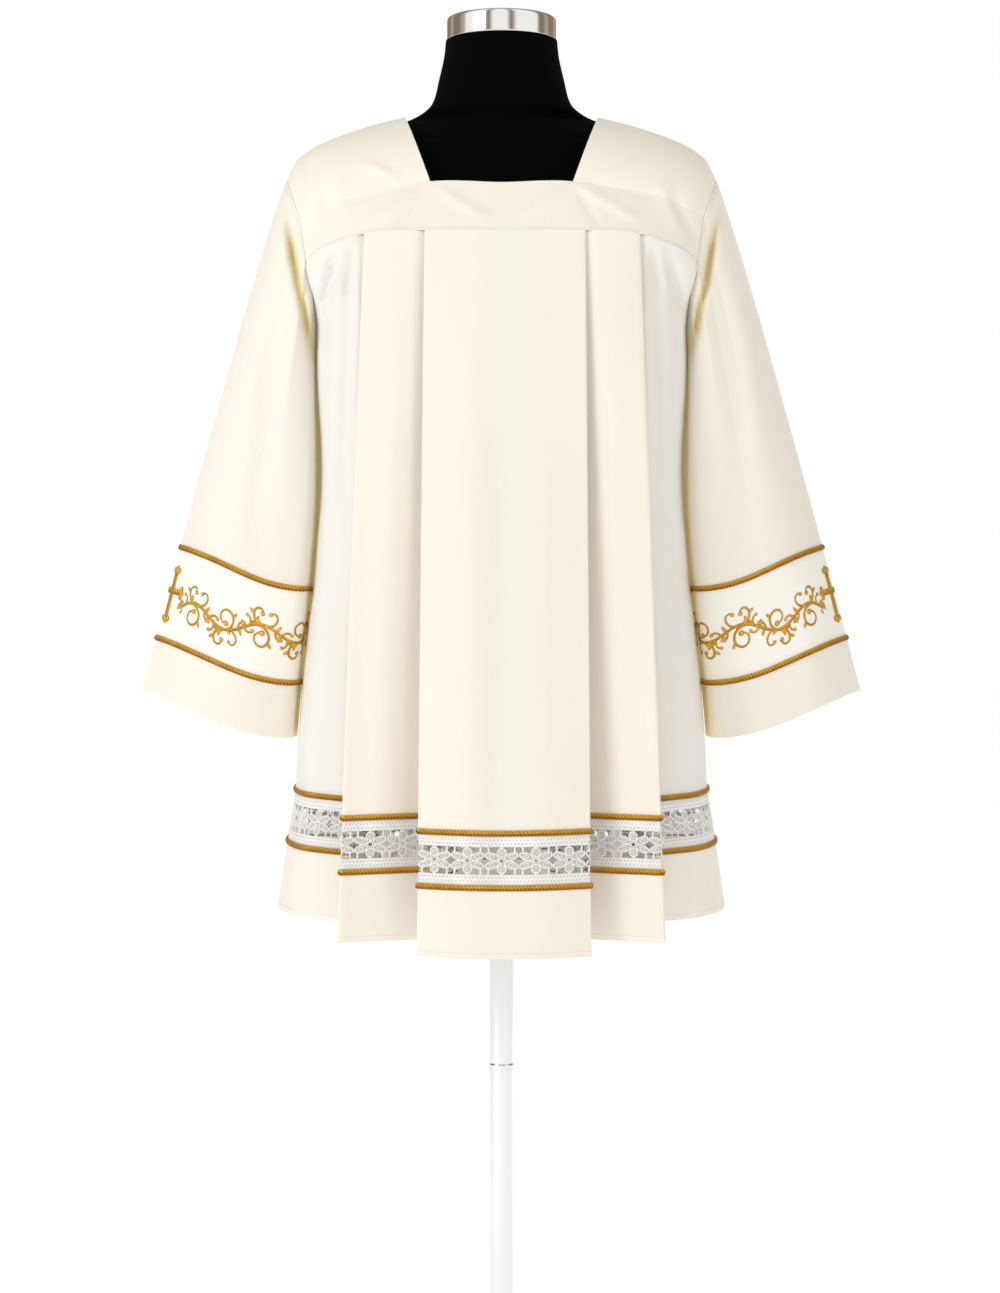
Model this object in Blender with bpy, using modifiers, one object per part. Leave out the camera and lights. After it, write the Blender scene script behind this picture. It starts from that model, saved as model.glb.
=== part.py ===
"""A pleated surplice with a square-necked yoke and wide sleeves, worn by a limbless dress form.

Units are metres and +Z is up. The wearer's front faces -Y and the wearer's left side is at +X.
The origin lies on the floor, under the middle of the stand's base.

The cloth is a thin wall. Each body panel is a set of upright threads, one for each column of its
mesh. A thread has a place in the plan at the yoke and another at the hem, and the pleats come
from the way that the threads follow each other out, round a fold, back under it and out again.
"""

import math

import bpy
import numpy as np

# ---- Cloth ----
WALL = 0.0012
SEAM_GAP = 0.0003
# The side seams lean, so each panel ends a little further from the middle plane.
SIDE_SEAM_CLEARANCE = 0.0004
# The pleats step out from under each other below the yoke, so it ends a little above them.
YOKE_CLEARANCE = 0.0006
LAYER_STEP = 0.002
CORD_WIDTH = 0.0066
CORD_THICKNESS = 0.0018

# ---- Heights above the floor ----
YOKE_SEAM_HEIGHT = 1.3166
HEM_HEIGHT = 0.588

# ---- Bands, measured up from the edge that they finish ----
HEM_BAND = 0.0695
HEM_LACE_TOP = 0.1235
CUFF_BAND = 0.0575
CUFF_ORNAMENT_TOP = 0.1555

# ---- Yoke, from the middle out to the armhole ----
NECK_CORNER = 0.0725
NECK_AT_SHOULDER = 0.1013
ARMHOLE_AT_SEAM = 0.1998
ARMHOLE_AT_YOKE_TOP = 0.2077
ARMHOLE_AT_SHOULDER = 0.2242
ARCH_ROUNDNESS = 2.0
YOKE_ROUNDNESS = 3.0
# Half breadth of the oval that the yoke follows, at its lower seam and at its upper seam.
YOKE_OVAL_SEAM = 0.222
YOKE_OVAL_TOP = 0.2277

# Columns: breadth from the middle, height.
SHOULDER_LINE = ((0.1013, 1.4480), (0.138, 1.4390), (0.156, 1.4332), (0.180, 1.4245),
                 (0.2011, 1.4138), (0.2155, 1.4010), (0.2242, 1.3830))
YOKE_LOWER_SEAM = ((0.0, 1.3166), (0.07, 1.3164), (0.14, 1.3140), (0.164, 1.3078),
                   (0.1927, 1.2950), (0.1998, 1.2885))
YOKE_UPPER_SEAM = ((0.0, 1.3672), (0.0725, 1.3680), (0.0950, 1.3650), (0.1725, 1.3520),
                   (0.2077, 1.3375))
# Columns: share of the way from the yoke's corner to the side seam, height.
ARMHOLE_LINE = ((0.0, 1.2885), (0.25, 1.2580), (0.5, 1.2300), (0.75, 1.2050), (1.0, 1.1900))
# Columns: height, breadth of the side seam from the middle.
SIDE_SEAM = ((0.6257, 0.2326), (0.70, 0.2220), (0.745, 0.2150), (0.797, 0.2120), (0.857, 0.2077),
             (0.923, 0.2010), (0.957, 0.1970), (1.006, 0.1936), (1.045, 0.1908), (1.080, 0.1902),
             (1.114, 0.1915), (1.15, 0.1938), (1.19, 0.1950), (1.23, 0.1945), (1.258, 0.1990),
             (1.2885, 0.2025), (1.3166, 0.2030))
# Share of the side panel over which the side seam's own line fades in from the pleats.
SIDE_DRAW = 0.5

# How far the yoke stands out from the middle plane, and how much lower the front is cut.
# Columns: face, direction, depth at the lower seam, depth at the upper seam, drop at the middle.
FACES = (
    ("back", 1.0, 0.118, 0.100, 0.0),
    ("front", -1.0, 0.122, 0.104, 0.026),
)

# Pleats. Columns: face, side, fold, breadth at the yoke, breadth at the hem, tuck at the yoke,
# tuck at the hem.
PLEATS = (
    ("back", "left", "box", 0.0774, 0.0832, 0.034, 0.040),
    ("back", "left", "knife", 0.1391, 0.1631, 0.033, 0.040),
    ("back", "right", "box", 0.0845, 0.0881, 0.034, 0.040),
    ("back", "right", "knife", 0.1401, 0.1626, 0.033, 0.040),
    ("front", "left", "box", 0.0800, 0.0868, 0.034, 0.040),
    ("front", "left", "knife", 0.1396, 0.1640, 0.033, 0.040),
    ("front", "right", "box", 0.0782, 0.0842, 0.034, 0.040),
    ("front", "right", "knife", 0.1388, 0.1618, 0.033, 0.040),
)

# How far each layer stands out from the middle plane at the hem.
BOX_MIDDLE = 0.210
BOX_EDGE = 0.194
BOX_TUCK = 0.165
KNIFE_START = 0.150
KNIFE_EDGE = 0.178
KNIFE_TUCK = 0.152
SIDE_START = 0.135
KNIFE_LEAN = 1.5
SIDE_ROUNDNESS = 2.3
SIDE_BREADTH_AT_HEM = 0.2326
# Past the fold that hides its start, a layer rises to the yoke's line within this breadth, and
# its threads spread over this breadth at the hem.
LAYER_RISE = 0.012
HEM_SPREAD = 0.020
HEM_FOLD_RADIUS = 0.0015
HEM_TURN_RADIUS = 0.006

# Height of the hem along each run of cloth. Columns: run, height at its start, at its end.
HEM_LINE = {
    "box": (0.5880, 0.5893),
    "box tuck": (0.5893, 0.6000),
    "knife": (0.6030, 0.6010),
    "knife tuck": (0.6010, 0.6120),
    "side": (0.6165, 0.6257),
}
SIDE_CORNER_SHARE = 0.50

# Steps of the mesh along each run.
STEPS = {"box": 2, "fold": 2, "tuck": 1, "turn": 2, "knife": 2, "side": 2, "armhole": 4, "arch": 4}
PANEL_ROWS = 5
SLEEVE_ROWS = 4

# ---- Sleeve ----
CUFF_OUTER = (0.3764, 0.849)
CUFF_INNER = (0.2165, 0.801)
CUFF_HALF_DEPTH = 0.060
CUFF_TAPER = 0.20
# Power of the cuff's depth at its middle, and how much it grows to the outer edge, where the cloth
# is pressed to a crease, and falls to the inner one, where it is nearly square.
CUFF_POWER = 1.275
CUFF_POWER_OUTWARDS = 0.925
CUFF_SAG = 0.0063
CUFF_SAG_INWARDS = 1.3
SLEEVE_CLEARANCE = (0.0015, -0.0004)
# How far the sleeve stands out between its ends: from its outer edge, from its inner edge, and
# backwards, forwards and inwards at the corners beside the inner edge.
OUTER_BULGE = 0.005
INNER_BULGE = 0.0092
CORNER_BULGE = 0.018
CORNER_DRAW = 0.0038
# Powers of the way down that put the greatest bulge above the middle, and the greatest draw below it.
BULGE_POWER = 0.7
INNER_POWER = 0.8
DRAW_POWER = 1.5

# ---- Dress form ----
FORM_SIDES = 28
# How far the shoulder's cloth lies above the form.
FORM_CLEARANCE = 0.0018
# Sections below the shoulders and of the neck.
# Columns: height, half breadth, depth behind the middle, depth in front of it, squareness.
FORM_BODY = (
    (0.780, 0.152, 0.102, 0.100, 2.3), (0.784, 0.160, 0.110, 0.107, 2.3),
    (0.820, 0.166, 0.116, 0.112, 2.3), (0.880, 0.166, 0.115, 0.110, 2.3),
    (0.980, 0.156, 0.102, 0.103, 2.3), (1.060, 0.150, 0.094, 0.100, 2.3),
    (1.130, 0.157, 0.100, 0.106, 2.3), (1.200, 0.168, 0.107, 0.112, 2.3),
    (1.260, 0.178, 0.110, 0.113, 2.4), (1.310, 0.194, 0.106, 0.107, 2.4),
    (1.345, 0.202, 0.096, 0.096, 2.3), (1.368, 0.2065, 0.087, 0.086, 2.2),
    (1.388, 0.2050, 0.079, 0.078, 2.1),
)
FORM_NECK = (
    (1.4560, 0.0800, 0.061, 0.060, 1.9), (1.4680, 0.0710, 0.061, 0.060, 2.0),
    (1.4900, 0.0655, 0.060, 0.060, 2.0), (1.5120, 0.0605, 0.058, 0.058, 2.0),
    (1.5300, 0.0585, 0.0575, 0.0575, 2.0),
)
# Sections whose edge follows the shoulder line, and so takes its height from that.
# Columns: half breadth, depth behind the middle, depth in front of it, squareness.
FORM_SHOULDER = (
    (0.1990, 0.070, 0.069, 2.0), (0.1910, 0.066, 0.065, 1.9), (0.1750, 0.063, 0.062, 1.8),
    (0.1520, 0.060, 0.057, 1.5), (0.1300, 0.058, 0.054, 1.35), (0.1000, 0.057, 0.054, 1.25),
)
NECK_CAP_SIDES = 36
# Columns: radius, height above the floor, down the outer side of the cap.
NECK_CAP_PROFILE = ((0.0, 1.5545), (0.0530, 1.5545), (0.0555, 1.5540), (0.0567, 1.5528),
                    (0.0572, 1.5510), (0.0572, 1.5303), (0.0, 1.5303))
POLE_RADIUS = 0.0125
BASE_RADIUS = 0.200
BASE_THICKNESS = 0.010
BASE_EDGE = 0.003

# Columns: colour, roughness, metallic.
FINISHES = {
    "cream_cloth": ((0.93, 0.88, 0.76), 0.80, 0.0),
    "white_lace": ((0.93, 0.91, 0.87), 0.85, 0.0),
    "gold_cord": ((0.56, 0.31, 0.04), 0.45, 0.3),
    "black_jersey": ((0.012, 0.012, 0.013), 0.85, 0.0),
    "chrome": ((0.80, 0.79, 0.77), 0.15, 1.0),
    "black_metal": ((0.02, 0.02, 0.02), 0.40, 0.6),
}


# ---- Small helpers ----
def along(table, at):
    """Values at the places asked for, on a smooth curve through a table's rows of place, value."""
    places = np.array([row[0] for row in table])
    values = np.array([row[1] for row in table])
    slopes = np.gradient(values, places)
    at = np.clip(at, places[0], places[-1])
    row = np.clip(np.searchsorted(places, at, side="right") - 1, 0, len(places) - 2)
    span = places[row + 1] - places[row]
    s = (at - places[row]) / span
    rise = values[row + 1] - values[row]
    return (values[row] + rise * s * s * (3 - 2 * s)
            + span * s * (1 - s) * (slopes[row] * (1 - s) - slopes[row + 1] * s))


def shares(steps, with_start=False):
    """Even shares of the way along a run, up to 1, and from 0 where the run is the first."""
    found = np.linspace(0.0, 1.0, steps + 1)
    return found if with_start else found[1:]


def face_row(face):
    return next(row for row in FACES if row[0] == face)


def pleat_row(face, side, fold):
    return next(row[3:] for row in PLEATS if row[:3] == (face, side, fold))


def oval_depth(breadth, half_breadth, depth):
    """Depth of the yoke's oval at a breadth from the middle."""
    inside = 1 - (np.abs(breadth) / half_breadth) ** YOKE_ROUNDNESS
    return depth * inside ** (1 / YOKE_ROUNDNESS)


def front_drop(face, breadth):
    """How much lower the yoke of this face is cut, most at the middle and nothing at the armhole."""
    return face_row(face)[4] * (1 - (breadth / ARMHOLE_AT_YOKE_TOP) ** 2)


# ---- Body panels ----
def layer_breadths(over, spread, end, steps):
    """Threads of a layer: one under the fold that hides its start, one past it, then even steps."""
    return np.concatenate([[over], over + spread + (end - over - spread) * shares(steps, with_start=True)])


def yoke_runs(face, side):
    """Places of half a panel's threads at the yoke seam, run by run, as breadth and depth."""
    seam_depth = face_row(face)[2]
    radius = LAYER_STEP / 2
    box, _, box_tuck, _ = pleat_row(face, side, "box")
    knife, _, knife_tuck, _ = pleat_row(face, side, "knife")

    def yoke(breadth):
        return oval_depth(breadth, YOKE_OVAL_SEAM, seam_depth)

    def fold(edge):
        angle = np.pi / 2 - np.pi * shares(STEPS["fold"])
        return (edge - radius + radius * np.cos(angle),
                yoke(edge) - radius + radius * np.sin(angle))

    def tuck(edge, depth):
        breadth = (edge - radius) + (2 * radius - depth) * shares(STEPS["tuck"])
        return breadth, yoke(breadth) - LAYER_STEP

    def turn(inner):
        angle = np.pi / 2 + np.pi * shares(STEPS["turn"])
        return (inner + radius + radius * np.cos(angle),
                yoke(inner + radius) - 3 * radius + radius * np.sin(angle))

    def layer(over, end, steps):
        """A run that passes two layers down under a fold and rises to the yoke's own line."""
        breadth = layer_breadths(over, LAYER_RISE, end, steps)
        return breadth, yoke(breadth) - 2 * LAYER_STEP * (breadth <= over)

    box_breadth = (box - radius) * shares(STEPS["box"], with_start=True)
    armhole = shares(STEPS["armhole"])
    corner_depth = yoke(ARMHOLE_AT_SEAM)
    side_top = SIDE_SEAM[-1][1]
    return [
        (box_breadth, yoke(box_breadth)),
        fold(box),
        tuck(box, box_tuck),
        turn(box - box_tuck),
        layer(box, knife - radius, STEPS["knife"]),
        fold(knife),
        tuck(knife, knife_tuck),
        turn(knife - knife_tuck),
        layer(knife, ARMHOLE_AT_SEAM, STEPS["side"]),
        (ARMHOLE_AT_SEAM + (side_top - ARMHOLE_AT_SEAM) * np.sin(armhole * np.pi / 2),
         corner_depth * (1 - armhole) + SIDE_SEAM_CLEARANCE),
    ]


def hem_runs(face, side):
    """Places of half a panel's threads at the hem, run by run, as breadth, depth and height."""
    _, box, _, box_tuck = pleat_row(face, side, "box")
    _, knife, _, knife_tuck = pleat_row(face, side, "knife")
    fold_radius = HEM_FOLD_RADIUS
    turn_radius = HEM_TURN_RADIUS

    def fold(edge, depth, height):
        angle = np.pi / 2 - np.pi * shares(STEPS["fold"])
        return (edge - fold_radius + fold_radius * np.cos(angle),
                depth - fold_radius + fold_radius * np.sin(angle), height + 0 * angle)

    def tuck(edge, depth, length, inner_depth, heights):
        share = shares(STEPS["tuck"])
        breadth = (edge - fold_radius) + (fold_radius + turn_radius - length) * share
        start = depth - 2 * fold_radius
        return breadth, start + (inner_depth - start) * share, np.interp(share, (0, 1), heights)

    def turn(inner, depth, end_depth, heights):
        share = shares(STEPS["turn"])
        angle = np.pi / 2 + np.pi * share
        half = (depth - end_depth) / 2
        return (inner + turn_radius + turn_radius * np.cos(angle),
                depth - half + half * np.sin(angle), np.interp(share, (0, 1), heights))

    box_share = shares(STEPS["box"], with_start=True)
    box_inner = box - box_tuck
    knife_inner = knife - knife_tuck
    knife_start = box_inner + turn_radius
    knife_breadth = layer_breadths(box, HEM_SPREAD, knife - fold_radius, STEPS["knife"])
    knife_share = (knife_breadth - knife_start) / (knife - fold_radius - knife_start)
    side_start = knife_inner + turn_radius
    reach = SIDE_BREADTH_AT_HEM - side_start
    power = 2 / SIDE_ROUNDNESS
    start_angle = np.arcsin(((knife - side_start) / reach) ** (1 / power))
    corner_angle = start_angle + (np.pi / 2 - start_angle) * SIDE_CORNER_SHARE
    angle = np.concatenate([
        start_angle + (corner_angle - start_angle) * shares(STEPS["side"] + 1, with_start=True),
        corner_angle + (np.pi / 2 - corner_angle) * shares(STEPS["armhole"]),
    ])
    side_breadth = side_start + reach * np.sin(angle) ** power
    side_depth = SIDE_START * np.abs(np.cos(angle)) ** power + SIDE_SEAM_CLEARANCE
    side_height = np.interp(angle / (np.pi / 2), (0, 1), HEM_LINE["side"])
    corner = STEPS["side"] + 2
    return [
        ((box - fold_radius) * box_share, BOX_MIDDLE - (BOX_MIDDLE - BOX_EDGE) * box_share ** 2,
         np.interp(box_share ** 2, (0, 1), HEM_LINE["box"])),
        fold(box, BOX_EDGE, HEM_LINE["box tuck"][0]),
        tuck(box, BOX_EDGE, box_tuck, BOX_TUCK, HEM_LINE["box tuck"]),
        turn(box_inner, BOX_TUCK, KNIFE_START, (HEM_LINE["box tuck"][1], HEM_LINE["knife"][0])),
        (knife_breadth, KNIFE_START + (KNIFE_EDGE - KNIFE_START) * knife_share ** KNIFE_LEAN,
         np.interp(knife_share, (0, 1), HEM_LINE["knife"])),
        fold(knife, KNIFE_EDGE, HEM_LINE["knife tuck"][0]),
        tuck(knife, KNIFE_EDGE, knife_tuck, KNIFE_TUCK, HEM_LINE["knife tuck"]),
        turn(knife_inner, KNIFE_TUCK, SIDE_START, (HEM_LINE["knife tuck"][1], HEM_LINE["side"][0])),
        (side_breadth[:corner], side_depth[:corner], side_height[:corner]),
        (side_breadth[corner:], side_depth[corner:], side_height[corner:]),
    ]


def half_panel(face, side):
    """Threads of half a panel from the middle to the side seam, as named arrays."""
    yoke = yoke_runs(face, side)
    hem = hem_runs(face, side)
    yoke_breadth = np.concatenate([run[0] for run in yoke])
    armhole_steps = STEPS["armhole"]
    yoke_height = along(YOKE_LOWER_SEAM, yoke_breadth) - front_drop(face, yoke_breadth)
    corner_height = yoke_height[-armhole_steps - 1]
    armhole_height = along(ARMHOLE_LINE, shares(armhole_steps))
    top, foot = ARMHOLE_LINE[0][1], ARMHOLE_LINE[-1][1]
    yoke_height[-armhole_steps:] = foot + (armhole_height - foot) * (corner_height - foot) / (top - foot)
    side_steps = STEPS["side"] + 2 + armhole_steps
    side_draw = np.zeros(len(yoke_breadth))
    side_draw[-side_steps:] = np.minimum(shares(side_steps) / SIDE_DRAW, 1.0)
    return {
        "yoke": np.array([yoke_breadth, np.concatenate([run[1] for run in yoke]), yoke_height]),
        "hem": np.array([np.concatenate([run[i] for run in hem]) for i in range(3)]),
        "side_draw": side_draw * side_draw * (3 - 2 * side_draw),
    }


def thread_points(threads, heights):
    """Points of half a panel on its threads, at heights given as rows by threads."""
    drop = (YOKE_SEAM_HEIGHT - heights) / (YOKE_SEAM_HEIGHT - HEM_HEIGHT)
    yoke, hem = threads["yoke"], threads["hem"]
    breadth = yoke[0] + (hem[0] - yoke[0]) * drop
    depth = yoke[1] + (hem[1] - yoke[1]) * drop
    outermost = yoke[0, -1] + (hem[0, -1] - yoke[0, -1]) * drop
    breadth = breadth + (along(SIDE_SEAM, heights) - outermost) * threads["side_draw"]
    return np.stack([breadth, depth, heights], axis=-1)


def panel_grid(face, levels, rows_from_yoke=0):
    """Points of a whole band of a panel, as rows by columns, from the right side seam to the left.

    levels are heights above the hem, from the top. With rows_from_yoke, that many rows go before
    them, evenly down from the yoke seam.
    """
    halves = []
    for side in ("right", "left"):
        threads = half_panel(face, side)
        heights = threads["hem"][2] + np.array(levels)[:, None]
        if rows_from_yoke:
            top = threads["yoke"][2] - SEAM_GAP / 2
            share = np.linspace(0.0, 1.0, rows_from_yoke, endpoint=False)[:, None]
            heights = np.concatenate([top + (heights[0] - top) * share, heights])
        halves.append(thread_points(threads, heights))
    right, left = halves
    right = right[:, :0:-1] * (-1, 1, 1)
    points = np.concatenate([right, left], axis=1)
    return points * (1, face_row(face)[1], 1)


# ---- Yoke ----
def seam_columns(face, side):
    """Breadths of the threads that show at the yoke seam: the box, then what each fold leaves bare."""
    runs = yoke_runs(face, side)
    return np.concatenate([runs[0][0], runs[4][0][1:], runs[8][0][1:]])


def upper_columns(face, side):
    """Breadths of the same columns at the yoke's upper seam, with the neck's corner at the box."""
    seam = seam_columns(face, side)
    box_edge = seam[STEPS["box"]]
    places = (0.0, box_edge, ARMHOLE_AT_SEAM)
    return np.interp(seam, places, (0.0, NECK_CORNER, ARMHOLE_AT_YOKE_TOP))


def upper_seam(face, breadth):
    """Points on the yoke band's upper seam."""
    _, direction, _, depth, _ = face_row(face)
    height = along(YOKE_UPPER_SEAM, np.abs(breadth)) - front_drop(face, np.abs(breadth))
    return np.stack([breadth, direction * oval_depth(breadth, YOKE_OVAL_TOP, depth), height], axis=-1)


def lower_seam(face, breadth):
    """Points on the yoke band's lower seam, where the pleats are sewn in."""
    _, direction, depth, _, _ = face_row(face)
    height = along(YOKE_LOWER_SEAM, np.abs(breadth)) - front_drop(face, np.abs(breadth))
    return np.stack([breadth, direction * oval_depth(breadth, YOKE_OVAL_SEAM, depth), height], axis=-1)


def yoke_grid(face):
    """Points of the yoke band, as rows by columns, from its upper to its lower seam."""
    seam, upper = (
        np.concatenate([-columns(face, "right")[:0:-1], columns(face, "left")])
        for columns in (seam_columns, upper_columns)
    )
    top = upper_seam(face, upper) - (0, 0, SEAM_GAP / 2)
    foot = lower_seam(face, seam) + (0, 0, YOKE_CLEARANCE)
    return np.stack([top, (top + foot) / 2, foot])


def shoulder_arch(across, face, angle):
    """Points of a left shoulder piece: across from neck to armhole, angle up from its seam."""
    seam = upper_seam(face, NECK_CORNER + (ARMHOLE_AT_YOKE_TOP - NECK_CORNER) * across)
    breadth = NECK_AT_SHOULDER + (ARMHOLE_AT_SHOULDER - NECK_AT_SHOULDER) * across
    ridge = np.stack([breadth, 0 * breadth, along(SHOULDER_LINE, breadth)], axis=-1)
    up = np.sin(angle) ** (2 / ARCH_ROUNDNESS)
    out = np.abs(np.cos(angle)) ** (2 / ARCH_ROUNDNESS)
    points = seam + (ridge - seam) * up
    points[:, 1] = seam[:, 1] * out
    points[:, 2] += SEAM_GAP / 2 * (1 - up)
    return points


def shoulder_columns(face, side):
    """Shares of the way from neck to armhole at which the yoke's upper seam has its columns."""
    breadth = upper_columns(face, side)[STEPS["box"]:]
    return (breadth - NECK_CORNER) / (ARMHOLE_AT_YOKE_TOP - NECK_CORNER)


def shoulder_grid(side):
    """Points of a shoulder piece as on the left, by rows from its back seam to its front seam."""
    ends = {face: shoulder_columns(face, side) for face in ("back", "front")}
    ridge = (ends["back"] + ends["front"]) / 2
    rise = shares(STEPS["arch"], with_start=True)

    def row(face, share):
        return shoulder_arch(ends[face] + (ridge - ends[face]) * share, face, share * np.pi / 2)

    return np.stack([row("back", share) for share in rise] + [row("front", share) for share in rise[-2::-1]])


# ---- Sleeve ----
def lifted(points, distance, closed):
    """A grid moved out from its outer side, mitred so that each strip keeps its distance."""
    down = np.gradient(points, axis=0)
    following = np.roll(points, -1, axis=1)
    strips = np.cross(down + np.roll(down, -1, axis=1), following - points)
    strips = strips / np.linalg.norm(strips, axis=-1, keepdims=True)
    before = np.roll(strips, 1, axis=1)
    if not closed:
        strips[:, -1] = strips[:, -2]
        before[:, 0] = strips[:, 0]
        before[:, -1] = strips[:, -2]
    spread = 1 + (before * strips).sum(axis=-1, keepdims=True)
    return points + distance * (before + strips) / spread


def armhole_half(face):
    """The armhole's edge on one face, from the shoulder down to the underarm."""
    rise = np.pi / 2 * shares(STEPS["arch"], with_start=True)[::-1]
    over = [shoulder_arch(np.array([1.0]), face, angle)[0] for angle in rise]
    yoke = yoke_grid(face)[:, -1]
    panel = panel_grid(face, (HEM_LACE_TOP,), 1)[0, -STEPS["armhole"]:]
    return np.concatenate([over, yoke[1:], panel])


def armhole_ring():
    """Where the left sleeve starts: round the armhole by the back, just clear of the edge."""
    back = armhole_half("back")
    front = armhole_half("front")
    ring = np.concatenate([back, front[-2:0:-1]])
    ring[len(back) - 1, 1] = 0.0
    return ring + (SLEEVE_CLEARANCE[0], 0.0, SLEEVE_CLEARANCE[1])


def cuff_ring(count):
    """Where the left sleeve ends: a drop-shaped ring, sharper at its outer edge, sagging between."""
    turn = 2 * np.pi * np.arange(count) / count
    outward = (1 + np.cos(turn)) / 2
    breadth = CUFF_INNER[0] + (CUFF_OUTER[0] - CUFF_INNER[0]) * outward
    power = CUFF_POWER + CUFF_POWER_OUTWARDS * np.cos(turn)
    depth = CUFF_HALF_DEPTH * np.sign(np.sin(turn)) * np.abs(np.sin(turn)) ** power
    depth = depth * (1 - CUFF_TAPER * np.cos(turn))
    sag = CUFF_SAG * np.sin(turn) ** 2 * (1 - CUFF_SAG_INWARDS * np.cos(turn))
    height = CUFF_INNER[1] + (CUFF_OUTER[1] - CUFF_INNER[1]) * outward - sag
    return np.stack([breadth, depth, height], axis=-1)


def bulged(points, share):
    """The straight sleeve's points, by rows and columns, moved out to its full shape."""
    count = points.shape[1]
    turn = 2 * np.pi * np.arange(count) / count
    hang = np.sin(np.pi * share ** BULGE_POWER)
    outer = OUTER_BULGE * np.clip(np.cos(turn), 0, 1) * hang
    inner = INNER_BULGE * np.clip(-np.cos(turn), 0, 1) * np.sin(np.pi * share ** INNER_POWER) ** 2
    made = lifted(points, (outer + inner)[:, :, None], True)
    corner = 3.5 * np.clip(-np.cos(turn), 0, 1) ** 4 * np.sin(turn)
    made[:, :, 1] += hang * CORNER_BULGE * corner
    made[:, :, 0] -= np.sin(np.pi * share ** DRAW_POWER) * CORNER_DRAW * np.abs(corner)
    return made


def sleeve_grid(levels, rows_from_armhole=0):
    """Points of a band of the left sleeve, as rows by columns.

    levels are distances up from the sleeve's edge, from the top. With rows_from_armhole, that many
    rows go before them, evenly down from the armhole.
    """
    start = armhole_ring()
    end = cuff_ring(len(start))
    length = np.linalg.norm(end - start, axis=1)
    share = 1 - np.array(levels)[:, None] / length
    if rows_from_armhole:
        before = np.linspace(0.0, 1.0, rows_from_armhole, endpoint=False)[:, None]
        share = np.concatenate([share[0] * before, share])
    return bulged(start + (end - start) * share[:, :, None], share)


# ---- Making objects ----
def new_material(name):
    colour, roughness, metallic = FINISHES[name]
    material = bpy.data.materials.new(name)
    material.use_nodes = True
    shader = material.node_tree.nodes["Principled BSDF"]
    shader.inputs["Base Color"].default_value = (*colour, 1.0)
    shader.inputs["Roughness"].default_value = roughness
    shader.inputs["Metallic"].default_value = metallic
    return material


def add_object(name, mesh, material, parts):
    mesh.materials.append(material)
    made = bpy.data.objects.new(name, mesh)
    parts.objects.link(made)
    return made


def grid_faces(rows, columns, closed):
    """Quads over a grid of points, wound so that they face outwards."""
    last = columns if closed else columns - 1
    return [(row * columns + column, (row + 1) * columns + column,
             (row + 1) * columns + (column + 1) % columns, row * columns + (column + 1) % columns)
            for row in range(rows - 1) for column in range(last)]


def cloth(name, points, material, parts, closed=False, wall=WALL):
    """A sheet of cloth through a grid of points, with its wall centred on them."""
    rows, columns, _ = points.shape
    mesh = bpy.data.meshes.new(name)
    mesh.from_pydata(points.reshape(-1, 3).tolist(), [], grid_faces(rows, columns, closed))
    made = add_object(name, mesh, material, parts)
    solid = made.modifiers.new("wall", "SOLIDIFY")
    solid.thickness = wall
    solid.offset = 0.0
    solid.use_even_offset = True
    solid.use_quality_normals = True
    mesh.shade_smooth()
    return made


def cord(name, points, material, parts, closed=False):
    """A flat cord laid over a strip of cloth, a seam's gap clear of its outer side."""
    lift = (WALL + CORD_THICKNESS) / 2 + SEAM_GAP
    return cloth(name, lifted(points, lift, closed), material, parts, closed, CORD_THICKNESS)


def mirrored(points):
    """The same grid on the wearer's right, with its columns turned round to face outwards."""
    return points[:, ::-1] * (-1, 1, 1)


def facing_out(face, points):
    """A grid that runs from right to left faces forwards, so the back's columns are turned."""
    return points[:, ::-1] if face == "back" else points


def band_levels(upper, lower):
    """Levels of a band between two cords: half a seam's gap short of its neighbours, with rows
    where the edges of the cords lie on it."""
    half = CORD_WIDTH / 2
    foot = (lower + half, lower + SEAM_GAP / 2) if lower else (0.0,)
    return (upper - SEAM_GAP / 2, upper - half, *foot)


def above_levels(cord_level):
    """The last levels of what hangs above a cord."""
    return cord_level + CORD_WIDTH / 2, cord_level + SEAM_GAP / 2


def cord_levels(level):
    return level + CORD_WIDTH / 2, level - CORD_WIDTH / 2


def build_body(face, materials, parts):
    cream, lace, gold = materials["cream_cloth"], materials["white_lace"], materials["gold_cord"]
    cloth(f"yoke_{face}", facing_out(face, yoke_grid(face)), cream, parts)
    panel = panel_grid(face, above_levels(HEM_LACE_TOP), PANEL_ROWS)
    cloth(f"body_{face}", facing_out(face, panel), cream, parts)
    lace_band = panel_grid(face, band_levels(HEM_LACE_TOP, HEM_BAND))
    cloth(f"lace_{face}", facing_out(face, lace_band), lace, parts)
    hem_band = panel_grid(face, band_levels(HEM_BAND, 0.0))
    cloth(f"hem_{face}", facing_out(face, hem_band), cream, parts)
    for place, level in (("upper", HEM_LACE_TOP), ("lower", HEM_BAND)):
        strip = panel_grid(face, cord_levels(level))
        cord(f"hem_cord_{place}_{face}", facing_out(face, strip), gold, parts)


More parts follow.
